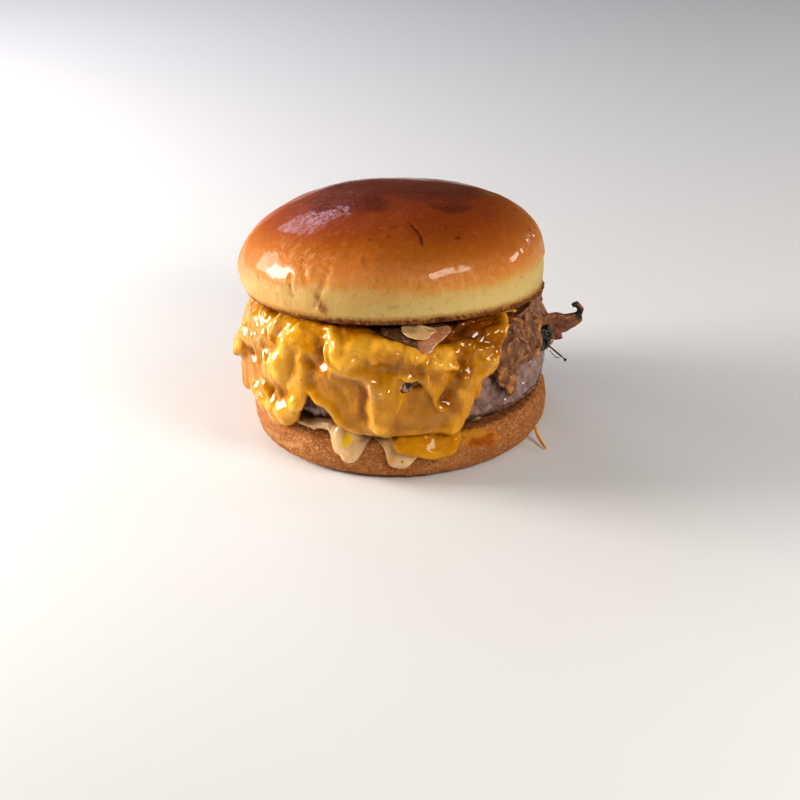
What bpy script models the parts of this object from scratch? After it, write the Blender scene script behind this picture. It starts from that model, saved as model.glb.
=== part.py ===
"""A cheeseburger with pulled pork, built piece by piece from the plate up.

Every length below is in millimetres and every azimuth in degrees: 0 is the front (-Y) and 90 is the
right (+X). MM turns millimetres into Blender's metres when a mesh is made. The origin is the middle of
the flat underside. Neighbouring pieces keep a gap of GAP.
"""
import math

import bmesh
import bpy
from mathutils import Vector, noise

MM = 0.001
GAP = 0.3

# Lower bun
HEEL_HEIGHT = 15.6
HEEL_FOOT_RADIUS = 46.0
HEEL_RADIUS = ((-90, 51.4), (0, 52.2), (90, 52.3), (180, 51.8))
HEEL_PROFILE = (  # share of the full radius, height
    (0.965, 1.6), (0.99, 4.2), (1.0, 7.5), (0.998, 10.8), (0.985, 13.2), (0.965, 14.8), (0.94, 15.5),
)

# Upper bun: a dome on a flat cut face that leans back, higher at the front
CROWN_CENTRE_X = -3.9
CROWN_CUT_Z = 49.5
CROWN_LEAN = 9.2
CROWN_HEIGHT = 35.6
CROWN_WAIST = 8.9
CROWN_RADIUS = ((-90, 51.4), (0, 51.5), (90, 55.4), (180, 55.4))
CROWN_RIM_RADIUS = ((-90, 45.6), (0, 51.0), (90, 54.6), (180, 49.2))
CROWN_SQUARENESS = ((-90, 1.85), (0, 2.16), (90, 2.5), (180, 2.16))

# Beef patty
PATTY_BOTTOM = 17.1
PATTY_TOP = 34.5
PATTY_RADIUS = ((-90, 50.2), (34, 50.3), (60, 51.4), (90, 51.9), (125, 50.9), (180, 50.6))
PATTY_EDGE = 5.0

# The form that the upper cheese drapes over: a flat top, a rounded shoulder, then the side
SHOULDER_RADIUS = ((-90, 42.0), (-45, 45.5), (0, 46.5), (42, 48.0), (60, 46.0), (90, 42.5), (180, 44.0))
SHOULDER_DROP = ((-90, 15.0), (-45, 14.0), (0, 13.0), (42, 12.0), (60, 13.0), (90, 15.0), (180, 14.0))
SIDE_RADIUS = ((-90, 52.0), (-45, 53.2), (0, 53.4), (45, 53.2), (90, 51.6), (180, 52.6))
SIDE_STEP = 10.0  # how far down the side one unit of travel goes
CHEESE_THICKNESS = 2.2
CHEESE_TOP_ROUNDING = 0.6
EDGE_TRAVEL = 0.26  # travel over which a layer's edge is rounded

# Lower edge of the upper cheese: azimuth, height. Low points are drips and high ones bare the meat.
CHEESE_EDGE = (
    (-168, 20.0), (-152, 12.5), (-138, 23.0), (-122, 15.0), (-108, 19.0), (-88, 12.5), (-68, 17.5),
    (-49, 13.6), (-41, 16.5), (-34, 30.5), (-27, 26.5), (-19, 21.6), (-9, 18.5), (21.5, 18.4),
    (25, 24.0), (29.5, 35.0), (34, 36.0), (42, 46.5), (47, 51.5), (53, 55.5), (57, 58.0), (116, 54.0),
    (128, 30.0), (136, 18.0), (146, 29.0), (160, 15.0), (174, 26.0),
)
OPEN_SIDE = (55, 116)  # azimuths where the upper cheese ends on the top and the pork shows
OPEN_REACH = 0.9

# Folds of the upper cheese: azimuth and height of both ends of a ridge, half width, rise (or hollow)
CHEESE_FOLDS = (
    (-80, 33, -61, 49, 4.5, 2.3), (-66, 38, -64, 30, 3.0, -0.7), (-56.5, 45, -52.5, 24, 3.5, 1.0),
    (-37, 54, -47, 34, 3.5, 1.5), (-23.5, 52, -21.5, 44, 3.5, 1.5), (-28, 39.5, -12, 41, 3.0, 1.5),
    (-46, 26, -43, 18, 5.5, 1.5), (-22, 32, -22, 29, 5.0, -0.7), (-11, 37, -10, 24, 2.2, 0.7),
    (-17, 48, 8, 45, 4.0, 1.7), (-6.2, 37, -4.5, 23, 3.6, 2.5), (4.5, 37.5, 4, 35, 2.2, -1.1),
    (7, 31, 8, 25, 4.5, -0.5), (11, 39, 19, 22, 3.2, 1.5), (18, 47, 23, 39, 3.5, 1.2),
    (34, 44, 30, 39, 3.5, 1.0), (2, 20.5, 17, 20, 2.5, 0.8), (-84, 24, -80, 18, 4.0, 0.8),
    (-104, 45, -98, 24, 4.0, 1.6), (-122, 40, -122, 18, 4.5, 1.8), (-152, 44, -151, 16, 5.0, 2.0),
    (-137, 42, -140, 34, 4.0, 1.0), (160, 46, 160, 18, 5.0, 2.0), (134, 44, 133, 22, 4.5, 1.6),
    (178, 40, 178, 34, 5.0, 1.2), (-112, 47, -128, 42, 4.0, 1.2), (146, 42, 170, 45, 4.0, 1.2),
)
FOLD_RADIUS = 54.0  # radius at which their azimuths are read
CHEESE_LEAST = 1.0

# Lower cheese, laid on the patty: azimuth, lower edge; elsewhere it ends on the patty's top
UNDER_TOP_RADIUS = 45.5
UNDER_THICKNESS = 1.5
UNDER_LEVEL = PATTY_TOP + 0.6
UNDER_SIDE = 51.0
UNDER_FLARE = 3.0  # how far it stands out to pass over the sauce
UNDER_FLARE_FROM = 17.6
UNDER_FLARE_TO = 13.6
UNDER_EDGE = (
    (-36, 38.0), (-22, 31.0), (-9, 23.0), (-5, 17.5), (0, 12.0), (6, 11.0), (13, 8.5), (17, 9.0), (20, 11.0),
    (22.5, 14.0), (25.2, 29.5), (27.3, 27.6), (29.8, 26.8), (32, 29.8), (34.5, 33.8), (39, 38.0), (180, 38.0),
)

# Sauce on the lower bun: azimuth, lower edge of what runs over the rim
SAUCE_THICKNESS = 0.9
SAUCE_FRONT = ((-60, 0.0), (-44, 1.0), (-14, 1.0), (-8, 0.0), (180, 0.0))  # where it is thick
SAUCE_SWELL = 0.9
SAUCE_TOP_RADIUS = 47.0
SAUCE_EDGE = (
    (-150, 20.0), (-52, 20.0), (-43, 15.2), (-27, 15.0), (-23, 13.2), (-20.2, 9.8), (-17.5, 9.1), (-15, 9.5),
    (-12.8, 13.8), (-10, 15.6),
    (-6.5, 13.5), (-3.8, 7.6), (-1, 5.5), (2, 5.5), (4.9, 7.8), (9, 13.5), (16, 20.0), (150, 20.0),
)

# Pulled pork between the two cheeses
PORK_BOTTOM = 36.6
PORK_FOOT = 45.4
PORK_TUCK = 3.0  # how far it keeps back where the cheese's back edge comes round to the right
TUCK_AZIMUTH = 122
TUCK_SPREAD = 14
PORK_CLEARANCE = 1.6
PORK_BULGE = 1.0  # how far the bare side stands out past the form
PORK_OPEN = ((-180, 0.0), (36, 0.0), (42, 1.0), (103, 1.0), (111, 0.0))  # where it is bare
PORK_LIP = (  # azimuth, height to which it hangs over the patty
    (-180, 36.6), (37.5, 36.6), (40, 31.5), (41.5, 27.5), (44, 24.3), (49, 24.0), (52.5, 31.5), (63, 31.2),
    (72, 30.0), (84, 30.5), (96, 29.0), (104, 32.0), (111, 36.6),
)
PORK_LIP_GAP = 0.5
PORK_LIP_START = 1.5

# A thin string of cheese that leans on the lower bun
STRING = ((64, 52.7, 5.4), (63.6, 53.6, 3.2), (61.5, 55.8, 1.7), (58.8, 59.2, 0.8))
STRING_RADIUS = 0.5
SHREDS = 9  # of pork, along the bare side

# The folded ham slice and the dab of sauce on it
HAM_AZIMUTH = 7.0
HAM_HALF_WIDTH = 13.5
HAM_TIP = 9.8
HAM_THICKNESS = 1.1
HAM_LIFT = 0.6
HAM_FOLD = 0.35
HAM_BED = 3.6  # how deep it is let into the cheese
DAB_THICKNESS = 0.9


def material(name, colour, roughness):
    """A plain Principled material."""
    made = bpy.data.materials.new(name)
    made.use_nodes = True
    shader = made.node_tree.nodes["Principled BSDF"]
    shader.inputs["Base Color"].default_value = (*colour, 1.0)
    shader.inputs["Roughness"].default_value = roughness
    return made


def around(azimuth, radius, height):
    """The point at that azimuth, radius and height."""
    turn = math.radians(azimuth)
    return Vector((radius * math.sin(turn), -radius * math.cos(turn), height))


def smooth(share):
    """0 to 1 with level ends."""
    share = min(max(share, 0.0), 1.0)
    return share * share * (3 - 2 * share)


def round_the_ring(points, azimuth):
    """The value at an azimuth of a ring of (azimuth, value) points, eased from each to the next."""
    azimuth = (azimuth - points[0][0]) % 360 + points[0][0]
    ends = [*points, (points[0][0] + 360, points[0][1])]
    for (first, low), (second, high) in zip(ends, ends[1:]):
        if azimuth <= second:
            return low + (high - low) * smooth((azimuth - first) / (second - first))
    return ends[-1][1]


def apart(azimuth, other):
    """The signed angle from other to azimuth."""
    return (azimuth - other + 180) % 360 - 180


def lumps(point, size, seed=0.0):
    """Smooth noise of about that size, from -1 to 1."""
    return noise.noise(point / size + Vector((seed, seed * 1.7, -seed)))


def evenly(count, start=-180.0, end=180.0):
    """count azimuths from start up to but not reaching end."""
    return [start + (end - start) * i / count for i in range(count)]


def linked(name, mesh, finish):
    """An object in the scene made of that mesh, in triangles that face outward, shaded smooth."""
    bmesh.ops.triangulate(mesh, faces=mesh.faces, quad_method="SHORT_EDGE")
    bmesh.ops.recalc_face_normals(mesh, faces=mesh.faces)
    data = bpy.data.meshes.new(name)
    mesh.to_mesh(data)
    mesh.free()
    data.shade_smooth()
    data.materials.append(finish)
    made = bpy.data.objects.new(name, data)
    bpy.context.scene.collection.objects.link(made)
    return made


def solid(name, rings, finish, foot=None, head=None):
    """A closed object through rings of points, low to high, closed by a fan to foot and head."""
    mesh = bmesh.new()
    rows = [[mesh.verts.new(point * MM) for point in ring] for ring in rings]
    for lower, upper in zip(rows, rows[1:]):
        for i, corner in enumerate(lower):
            j = (i + 1) % len(lower)
            mesh.faces.new((corner, lower[j], upper[j], upper[i]))
    for row, tip, turned in ((rows[0], foot, True), (rows[-1], head, False)):
        if tip is None:
            mesh.faces.new(row[::-1] if turned else row)
            continue
        middle = mesh.verts.new(tip * MM)
        for i, corner in enumerate(row):
            near, far = (row[(i + 1) % len(row)], corner) if turned else (corner, row[(i + 1) % len(row)])
            mesh.faces.new((near, far, middle))
    return linked(name, mesh, finish)


# ---- the forms that the layers follow -------------------------------------------------------------


def cut_height(x, y):
    """Height of the upper bun's cut face above a place."""
    return CROWN_CUT_Z - y * math.tan(math.radians(CROWN_LEAN))


def ham_bed(azimuth, radius):
    """How far the cheese's top is let down under the ham."""
    across = abs(apart(azimuth, HAM_AZIMUTH)) * max(radius, 20.0) / 50.0
    return HAM_BED * smooth((HAM_HALF_WIDTH + 9 - across) / 7) * smooth((radius - 14) / 8)


def drape(azimuth, travel):
    """A point on the form under the upper cheese: travel 0 to 1 crosses the top, 1 to 2 the shoulder."""
    shoulder = round_the_ring(SHOULDER_RADIUS, azimuth)
    radius = min(travel, 1.0) * shoulder
    place = around(azimuth, radius, 0)
    top = cut_height(place.x, place.y) - GAP - CHEESE_THICKNESS - ham_bed(azimuth, radius)
    if travel <= 1:
        return Vector((place.x, place.y, top))
    side = round_the_ring(SIDE_RADIUS, azimuth)
    turn = min(travel - 1, 1.0) * math.pi / 2
    radius += (side - shoulder) * math.sin(turn)
    drop = round_the_ring(SHOULDER_DROP, azimuth)
    height = top - drop * (1 - math.cos(turn)) - max(travel - 2, 0) * SIDE_STEP
    return around(azimuth, radius, height)


def side_travel(azimuth, height):
    """The travel at which the draped form comes down to that height."""
    fall = drape(azimuth, 1).z - height
    drop = round_the_ring(SHOULDER_DROP, azimuth)
    if fall <= 0:
        return 1.0
    if fall < drop:
        return 1 + math.acos(1 - fall / drop) / (math.pi / 2)
    return 2 + (fall - drop) / SIDE_STEP


def heel_radius(azimuth):
    """Full radius of the lower bun, with the slight unevenness of a baked one."""
    return round_the_ring(HEEL_RADIUS, azimuth) + 0.35 * lumps(around(azimuth, 30, 0), 22, 3)


def heel_side(azimuth, height):
    """Radius of the lower bun's side at a height."""
    full = heel_radius(azimuth)
    shares = [(HEEL_FOOT_RADIUS / full, 0.0), *HEEL_PROFILE]
    for (low, start), (high, end) in zip(shares, shares[1:]):
        if height <= end:
            return full * (low + (high - low) * (height - start) / (end - start))
    return full * shares[-1][0]


def patty_radius(azimuth):
    """Greatest radius of the patty."""
    return round_the_ring(PATTY_RADIUS, azimuth)


def under_form(azimuth, travel):
    """A point on the form under the lower cheese: the patty's top, its edge, then its side."""
    edge, level = UNDER_TOP_RADIUS, UNDER_LEVEL
    if travel <= 1:
        return around(azimuth, travel * edge, level)
    turn = min(travel - 1, 1.0) * math.pi / 2
    height = level - PATTY_EDGE * (1 - math.cos(turn)) - max(travel - 2, 0) * SIDE_STEP
    flare = UNDER_FLARE * smooth((UNDER_FLARE_FROM - height) / (UNDER_FLARE_FROM - UNDER_FLARE_TO))
    return around(azimuth, edge + (UNDER_SIDE - edge) * math.sin(turn) + flare, height)


def sauce_form(azimuth, travel):
    """A point on the form under the lower sauce: the bun's cut face, then round its rim and down."""
    level = HEEL_HEIGHT + GAP
    if travel <= 1:
        return around(azimuth, travel * SAUCE_TOP_RADIUS, level)
    rim = heel_radius(azimuth) * HEEL_PROFILE[-1][0] + 0.7
    if travel <= 1.4:
        return around(azimuth, SAUCE_TOP_RADIUS + (rim - SAUCE_TOP_RADIUS) * (travel - 1) / 0.4, level)
    height = level - (travel - 1.4) * SIDE_STEP
    return around(azimuth, max(heel_side(azimuth, height) + GAP * 1.8, rim), height)


def outward(form, azimuth, travel):
    """The unit normal of a form, pointing away from the food."""
    step = 0.02
    along = form(azimuth, travel + step) - form(azimuth, max(travel - step, 0.01))
    across = form(azimuth + 1, max(travel, 0.05)) - form(azimuth - 1, max(travel, 0.05))
    return along.cross(across).normalized()


def under_the_cut(point):
    """The point, let down where it would reach into the upper bun."""
    return Vector((point.x, point.y, min(point.z, cut_height(point.x, point.y) - GAP)))


def sheet(name, finish, form, azimuths, reach, thickness, over, under, corner=1.0):
    """A layer on a form. reach(azimuth) is the travel at its edge and thickness(azimuth, travel) its depth.

    over and under place the rings of its two faces: 0 to 1 runs to the form's corner, 1 to 2 to the edge.
    """

    def layer(place, raised):
        points = []
        for azimuth in azimuths:
            edge = reach(azimuth)
            knee = corner if edge > 1.1 * corner else 0.62 * edge
            travel = knee * min(place, 1) + (edge - knee) * max(place - 1, 0)
            point = form(azimuth, travel)
            if raised:
                near = max(1 - (edge - travel) / EDGE_TRAVEL, 0)
                depth = thickness(azimuth, travel) * (0.18 + 0.82 * math.sqrt(max(1 - near * near, 0)))
                point = under_the_cut(point + outward(form, azimuth, travel) * depth)
            points.append(point)
        return points

    rings = [layer(place, False) for place in under] + [layer(place, True) for place in reversed(over)]
    foot = form(0, 0)
    return solid(name, rings, finish, foot, foot + Vector((0, 0, thickness(0, 0))))


# ---- the pieces -----------------------------------------------------------------------------------


def make_heel(finish):
    """The lower bun: flat underneath, bulging at the side, cut flat on top."""
    azimuths = evenly(54)
    profile = [(HEEL_FOOT_RADIUS, None, 0.0)] + [(None, share, height) for share, height in HEEL_PROFILE]
    rings = [
        [around(a, radius or share * heel_radius(a), height) for a in azimuths]
        for radius, share, height in profile
    ]
    rings.append([around(a, 40, HEEL_HEIGHT) for a in azimuths])
    return solid("heel", rings, finish, None, Vector((0, 0, HEEL_HEIGHT)))


def make_crown(finish):
    """The upper bun: a dome that is lower and rounder on the left and upright on the right."""
    azimuths = evenly(58)
    lean = math.radians(CROWN_LEAN)

    def placed(azimuth, radius, height):
        point = around(azimuth, radius, height)
        back, up = point.y, point.z
        return Vector((
            point.x + CROWN_CENTRE_X,
            back * math.cos(lean) + up * math.sin(lean),
            CROWN_CUT_Z - back * math.sin(lean) + up * math.cos(lean),
        ))

    def outline(azimuth):
        full = round_the_ring(CROWN_RADIUS, azimuth)
        rim = round_the_ring(CROWN_RIM_RADIUS, azimuth)
        power = 2 / round_the_ring(CROWN_SQUARENESS, azimuth)
        yield rim - 1.2, 0.0
        for turn in (8, 35, 62):
            share = math.radians(turn)
            yield rim + (full - rim) * math.sin(share), CROWN_WAIST * (1 - math.cos(share))
        for turn in (0, 13, 26, 39, 51, 62, 72, 81):
            share = math.radians(turn)
            rise = (CROWN_HEIGHT - CROWN_WAIST) * math.sin(share) ** power
            yield full * math.cos(share) ** power, CROWN_WAIST + rise

    columns = [[placed(a, radius, height) for radius, height in outline(a)] for a in azimuths]
    rings = [list(ring) for ring in zip(*columns)]
    return solid("crown", rings, finish, placed(0, 0, 0), placed(0, 0, CROWN_HEIGHT))


def make_patty(finish):
    """The beef patty: a thick round with rounded edges and a coarse, lumpy side."""
    azimuths = evenly(50)
    middle = (PATTY_BOTTOM + PATTY_TOP) / 2
    levels = [(6.0, PATTY_BOTTOM)]
    for turn in (30, 60, 90):
        share = math.radians(turn)
        levels.append((PATTY_EDGE * (1 - math.sin(share)), PATTY_BOTTOM + PATTY_EDGE * (1 - math.cos(share))))
    levels.append((0.0, middle))
    levels += [(inset, 2 * middle - height) for inset, height in reversed(levels[:-1])]
    rings = []
    for inset, height in levels:
        ring = []
        for azimuth in azimuths:
            radius = patty_radius(azimuth) - inset
            point = around(azimuth, radius, height)
            hollow = 0.5 * (lumps(point, 9, 1) + 0.6 * lumps(point, 4, 5) - 1.3)
            ring.append(around(azimuth, radius + hollow, height))
        rings.append(ring)
    return solid("patty", rings, finish, Vector((0, 0, PATTY_BOTTOM)), Vector((0, 0, PATTY_TOP)))


def make_sauce(finish):
    """The sauce between lower bun and patty, with two runs down the front."""
    azimuths = evenly(34, -50, 18) + evenly(12, 18, 310)

    def reach(azimuth):
        height = round_the_ring(SAUCE_EDGE, azimuth)
        return 1.0 if height > HEEL_HEIGHT + 1 else 1.4 + max(HEEL_HEIGHT + GAP - height, 0.4) / SIDE_STEP

    def thickness(azimuth, travel):
        swell = round_the_ring(SAUCE_FRONT, azimuth) * smooth((travel - 1.25) / 0.25)
        return SAUCE_THICKNESS + SAUCE_SWELL * swell

    over = (0.8, 0.95, 1.1, 1.35, 1.6, 1.8, 1.93, 2.0)
    under = (0.8, 1.0, 1.25, 1.5, 1.75, 2.0)
    return sheet("sauce", finish, sauce_form, azimuths, reach, thickness, over, under, 1.4)


def make_under_cheese(finish):
    """The lower slice of cheese, on the patty, with its melted front corner over the bun's edge."""
    azimuths = evenly(6, -38, -14) + evenly(27, -14, 40) + evenly(12, 40, 322)

    def reach(azimuth):
        height = round_the_ring(UNDER_EDGE, azimuth)
        drop = UNDER_LEVEL - height
        if drop <= 0:
            return 1.0
        if drop < PATTY_EDGE:
            return 1 + math.acos(1 - drop / PATTY_EDGE) / (math.pi / 2)
        return 2 + (drop - PATTY_EDGE) / SIDE_STEP

    def thickness(azimuth, travel):
        return UNDER_THICKNESS - 0.4 * smooth((1.2 - travel) / 0.2) + 0.5 * smooth((travel - 3.2) / 0.6)

    over = (0.9, 1.1, 1.25, 1.4, 1.6, 1.75, 1.88, 1.96, 2.0)
    under = (0.9, 1.15, 1.35, 1.6, 2.0)
    return sheet("under_cheese", finish, under_form, azimuths, reach, thickness, over, under)


def cheese_reach(azimuth):
    """Travel of the upper cheese at its edge."""
    start, end = OPEN_SIDE
    if start < azimuth < end:
        ease = smooth((azimuth - start) / 6) * smooth((end - azimuth) / 6)
        edge = side_travel(azimuth, drape(azimuth, 1).z - 1)
        return edge + (OPEN_REACH - edge) * ease
    return side_travel(azimuth, round_the_ring(CHEESE_EDGE, azimuth))


def ridge_distance(azimuth, height, start, bottom, end, top):
    """Distance on the food's side from a place to the ridge between two places."""
    across = math.radians(apart(azimuth, start)) * FOLD_RADIUS
    up = height - bottom
    along, rise = math.radians(apart(end, start)) * FOLD_RADIUS, top - bottom
    share = (across * along + up * rise) / (along * along + rise * rise)
    share = min(max(share, 0.0), 1.0)
    return math.hypot(across - share * along, up - share * rise)


def cheese_thickness(azimuth, travel):
    """Depth of the upper cheese: even on the top, swelling in folds and drips at the side."""
    depth = CHEESE_THICKNESS
    if travel < 1.02:
        return depth - CHEESE_TOP_ROUNDING * smooth((0.2 + lumps(around(azimuth, travel * 40, 0), 13, 2)) / 0.6)
    place = drape(azimuth, travel)
    for start, bottom, end, top, half_width, rise in CHEESE_FOLDS:
        away = ridge_distance(azimuth, place.z, start, bottom, end, top) / half_width
        depth += rise * math.exp(-away * away)
    ripple = 0.5 * lumps(place, 11, 4) + 0.3 * lumps(place, 5, 6)
    return max(depth + ripple * smooth((travel - 1.02) / 0.4), CHEESE_LEAST)


def make_cheese(finish):
    """The upper slice of cheese, melted over the pork, the patty and the bun's edge."""
    azimuths = evenly(53, -92, 56) + evenly(33, 56, 268)
    over = (0.35, 0.6, 0.85, 1.0, 1.1, 1.19, 1.28, 1.37, 1.46, 1.55, 1.65, 1.75, 1.84, 1.92, 1.97, 2.0)
    under = (0.35, 0.6, 0.85, 1.0, 1.12, 1.24, 1.38, 1.6, 2.0)
    return sheet("cheese", finish, drape, azimuths, cheese_reach, cheese_thickness, over, under)


def blob(centre, half, azimuth, uneven=0.15, detail=2):
    """A lumpy ellipsoid with half sizes across, through and up, turned to face its azimuth."""
    mesh = bmesh.new()
    bmesh.ops.create_icosphere(mesh, subdivisions=detail, radius=1)
    across, out = around(azimuth + 90, 1, 0), around(azimuth, 1, 0)
    for vertex in mesh.verts:
        way = vertex.co * (1 + uneven * lumps(vertex.co * 10 + centre, 9, 8))
        place = centre + across * way.x * half[0] + out * way.y * half[1] + Vector((0, 0, way.z * half[2]))
        vertex.co = place * MM
    bmesh.ops.recalc_face_normals(mesh, faces=mesh.faces)
    return mesh


def strand(path, radii, sides=6):
    """A tapering tube through a path of points, flattened by each (out, up) pair of radii."""
    mesh = bmesh.new()
    rows = []
    for i, (point, (out, up)) in enumerate(zip(path, radii)):
        along = (path[min(i + 1, len(path) - 1)] - path[max(i - 1, 0)]).normalized()
        side = along.cross(Vector((0, 0, 1)) if abs(along.z) < 0.8 else Vector((1, 0, 0))).normalized()
        rise = side.cross(along).normalized()
        turns = [2 * math.pi * k / sides for k in range(sides)]
        ring = [point + side * out * math.cos(t) + rise * up * math.sin(t) for t in turns]
        rows.append([mesh.verts.new(place * MM) for place in ring])
    for lower, upper in zip(rows, rows[1:]):
        for i, corner in enumerate(lower):
            j = (i + 1) % sides
            mesh.faces.new((corner, lower[j], upper[j], upper[i]))
    mesh.faces.new(rows[0][::-1])
    mesh.faces.new(rows[-1])
    bmesh.ops.recalc_face_normals(mesh, faces=mesh.faces)
    return mesh


def fused(base, pieces):
    """base with the pieces joined to it by one Boolean union, which is applied."""
    group = bpy.data.collections.new("fused")
    bpy.context.scene.collection.children.link(group)
    for i, mesh in enumerate(pieces):
        data = bpy.data.meshes.new(f"fused_{i}")
        mesh.to_mesh(data)
        mesh.free()
        group.objects.link(bpy.data.objects.new(f"fused_{i}", data))
    union = base.modifiers.new("union", "BOOLEAN")
    union.operation = "UNION"
    union.operand_type = "COLLECTION"
    union.collection = group
    union.solver = "EXACT"
    bpy.context.view_layer.update()
    joined = bpy.data.meshes.new_from_object(base.evaluated_get(bpy.context.evaluated_depsgraph_get()))
    base.modifiers.clear()
    base.data = joined
    for piece in list(group.objects):
        bpy.data.objects.remove(piece)
    bpy.data.collections.remove(group)
    return base


def pork_core(finish):
    """The heap itself: under the cheese, and bare on the right, where it hangs over the patty's edge."""
    azimuths = evenly(20, -180, 24) + evenly(29, 24, 126) + evenly(5, 126, 180)

    def tuck(azimuth):
        return PORK_TUCK * smooth(1 - abs(apart(azimuth, TUCK_AZIMUTH)) / TUCK_SPREAD)

    def surface(azimuth, travel):
        place = drape(azimuth, travel)
        rough = 0.5 + 0.5 * lumps(place, 6, 7)
        hidden = -PORK_CLEARANCE - 0.6 * rough - tuck(azimuth)
        shown = PORK_BULGE + 0.9 * lumps(place, 5, 9) if travel > 1.1 else CHEESE_THICKNESS - 0.5 - 0.8 * rough
        bare = round_the_ring(PORK_OPEN, azimuth) * smooth((travel - cheese_reach(azimuth) - 0.2) / 0.12)
        return place + outward(drape, azimuth, travel) * (hidden + (shown - hidden) * bare)

    columns = []
    for azimuth in azimuths:
        lip = PORK_BOTTOM - round_the_ring(PORK_LIP, azimuth)
        hang = smooth(lip / PORK_LIP_START)
        low = max(lip - PORK_LIP_START, 0)
        inner = PORK_FOOT + (patty_radius(azimuth) + PORK_LIP_GAP - PORK_FOOT) * hang
        outer = inner + 0.8 + 0.3 * hang + 0.4 * hang * lumps(around(azimuth, 50, 20), 5, 9)
        lowest = min(1.8, side_travel(azimuth, PORK_BOTTOM + 2.8 + tuck(azimuth)))
        column = [
            around(azimuth, 41.0, PORK_BOTTOM), around(azimuth, inner - 1.5 - 2 * hang, PORK_BOTTOM),
            around(azimuth, inner, PORK_BOTTOM - low * 0.35), around(azimuth, inner, PORK_BOTTOM - low - 0.1),
            around(azimuth, outer, PORK_BOTTOM - low), around(azimuth, outer + 0.3, PORK_BOTTOM - low * 0.6 + 0.7),
        ]
        column += [surface(azimuth, 1 + (lowest - 1) * share) for share in (1.0, 0.75, 0.5, 0.3, 0.14)]
        column += [surface(azimuth, travel) for travel in (1.0, 0.85, 0.6, 0.35)]
        columns.append(column)
    rings = [list(ring) for ring in zip(*columns)]
    top = drape(0, 0) - Vector((0, 0, PORK_CLEARANCE))
    return solid("pork", rings, finish, Vector((0, 0, PORK_BOTTOM)), top)


def make_pork(finish):
    """Pulled pork: a heap that spills out bare on the right, with shreds, a charred flap and burnt ends."""
    flap = [
        around(76, 46, 39.5), around(82, 50.5, 38.2), around(86.5, 55, 35.2), around(89, 59, 34.8),
        around(90.5, 62.6, 35.5), around(91, 65, 36.1),
    ]
    curl = [around(90.5, 63.6, 36.6), around(90.5, 64.4, 39.4), around(90, 62.9, 41.6), around(89.5, 61.2, 41.3)]
    tail = [around(94, 51.6, 37), around(96, 53.6, 32.5), around(97, 53.4, 26), around(97.5, 53.4, 20.5)]
    stick = [around(76, 53.0, 32.5), around(77.5, 55.2, 30.2), around(78.3, 58.6, 26.8), around(78.3, 59.2, 26.1)]
    pieces = [
        strand(flap, [(1.4, 1.6), (1.8, 3.0), (1.8, 5.0), (1.6, 3.7), (1.3, 2.9), (0.7, 1.8)], 8),
        strand(curl, [(1.0, 1.4), (1.1, 1.4), (1.1, 1.3), (0.9, 1.0)]),
        strand(tail, [(1.0, 1.4), (0.9, 1.1), (0.8, 1.0), (0.5, 0.6)]),
        strand(stick, [(0.45, 0.45), (0.32, 0.32), (0.32, 0.32), (0.6, 0.6)], 4),
        blob(around(86, 55.8, 31.4), (1.7, 2.8, 2.2), 86, 0.25, 1),
        blob(around(74, 53.0, 35.8), (3.2, 1.8, 3.5), 74, 0.45, 2),
        blob(around(46, 53.0, 29), (3.2, 1.5, 4.6), 46, 0.3, 2),
        blob(around(41.5, 51.9, 32), (2.2, 1.2, 2.4), 41, 0.3, 1),
    ]
    for k in range(SHREDS):
        azimuth = 52 + k * 57 / (SHREDS - 1)
        height = 40.0 + 3.6 * math.sin(k * 2.3)
        tilt = 4.5 * math.cos(k * 1.9)
        radius = 51.6 + 0.4 * math.sin(k * 3.1) - 0.4 * max(height - 40, 0)
        path = [
            around(azimuth - 4, radius - 1.6, height - tilt * 0.8), around(azimuth, radius + 0.8, height),
            around(azimuth + 4, radius - 1.6, height + tilt * 0.7),
        ]
        pieces.append(strand(path, [(0.7, 0.7), (1.1, 1.3), (0.6, 0.6)], 5))
    return fused(pork_core(finish), pieces)


def make_string(finish):
    """The thin string of cheese on the plate side of the lower bun."""
    path = [around(*place) for place in STRING]
    mesh = strand(path, [(STRING_RADIUS, STRING_RADIUS)] * 3 + [(STRING_RADIUS * 0.6, STRING_RADIUS * 0.6)])
    return linked("cheese_string", mesh, finish)


def patch(name, finish, columns, rows, place):
    """A closed curved plate: place(column, row, side) gives its points, side 0 below and 1 above."""
    mesh = bmesh.new()
    grid = [
        [[mesh.verts.new(place(c / (columns - 1), r / (rows - 1), side) * MM) for r in range(rows)]
         for c in range(columns)]
        for side in (0, 1)
    ]
    for side in (0, 1):
        for c in range(columns - 1):
            for r in range(rows - 1):
                corners = [grid[side][c][r], grid[side][c + 1][r], grid[side][c + 1][r + 1], grid[side][c][r + 1]]
                mesh.faces.new(corners if side else corners[::-1])
    rim = [(c, 0) for c in range(columns)] + [(columns - 1, r) for r in range(1, rows)]
    rim += [(c, rows - 1) for c in range(columns - 2, -1, -1)] + [(0, r) for r in range(rows - 2, 0, -1)]
    for (c, r), (d, s) in zip(rim, rim[1:] + rim[:1]):
        mesh.faces.new((grid[0][c][r], grid[0][d][s], grid[1][d][s], grid[1][c][r]))
    return linked(name, mesh, finish)


def above_cheese(azimuth, travel, lift):
    """A point that far above the upper cheese's outer face."""
    depth = cheese_thickness(azimuth, travel) + lift
    return under_the_cut(drape(azimuth, travel) + outward(drape, azimuth, travel) * depth)


def ham_spread(row):
    """Half width of the ham in degrees and its middle's azimuth, from its hidden end to its tip."""
    tip = smooth((row - 0.55) / 0.45)
    return HAM_HALF_WIDTH * (1 - 0.85 * tip), HAM_AZIMUTH + (HAM_TIP - HAM_AZIMUTH) * tip


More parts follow.
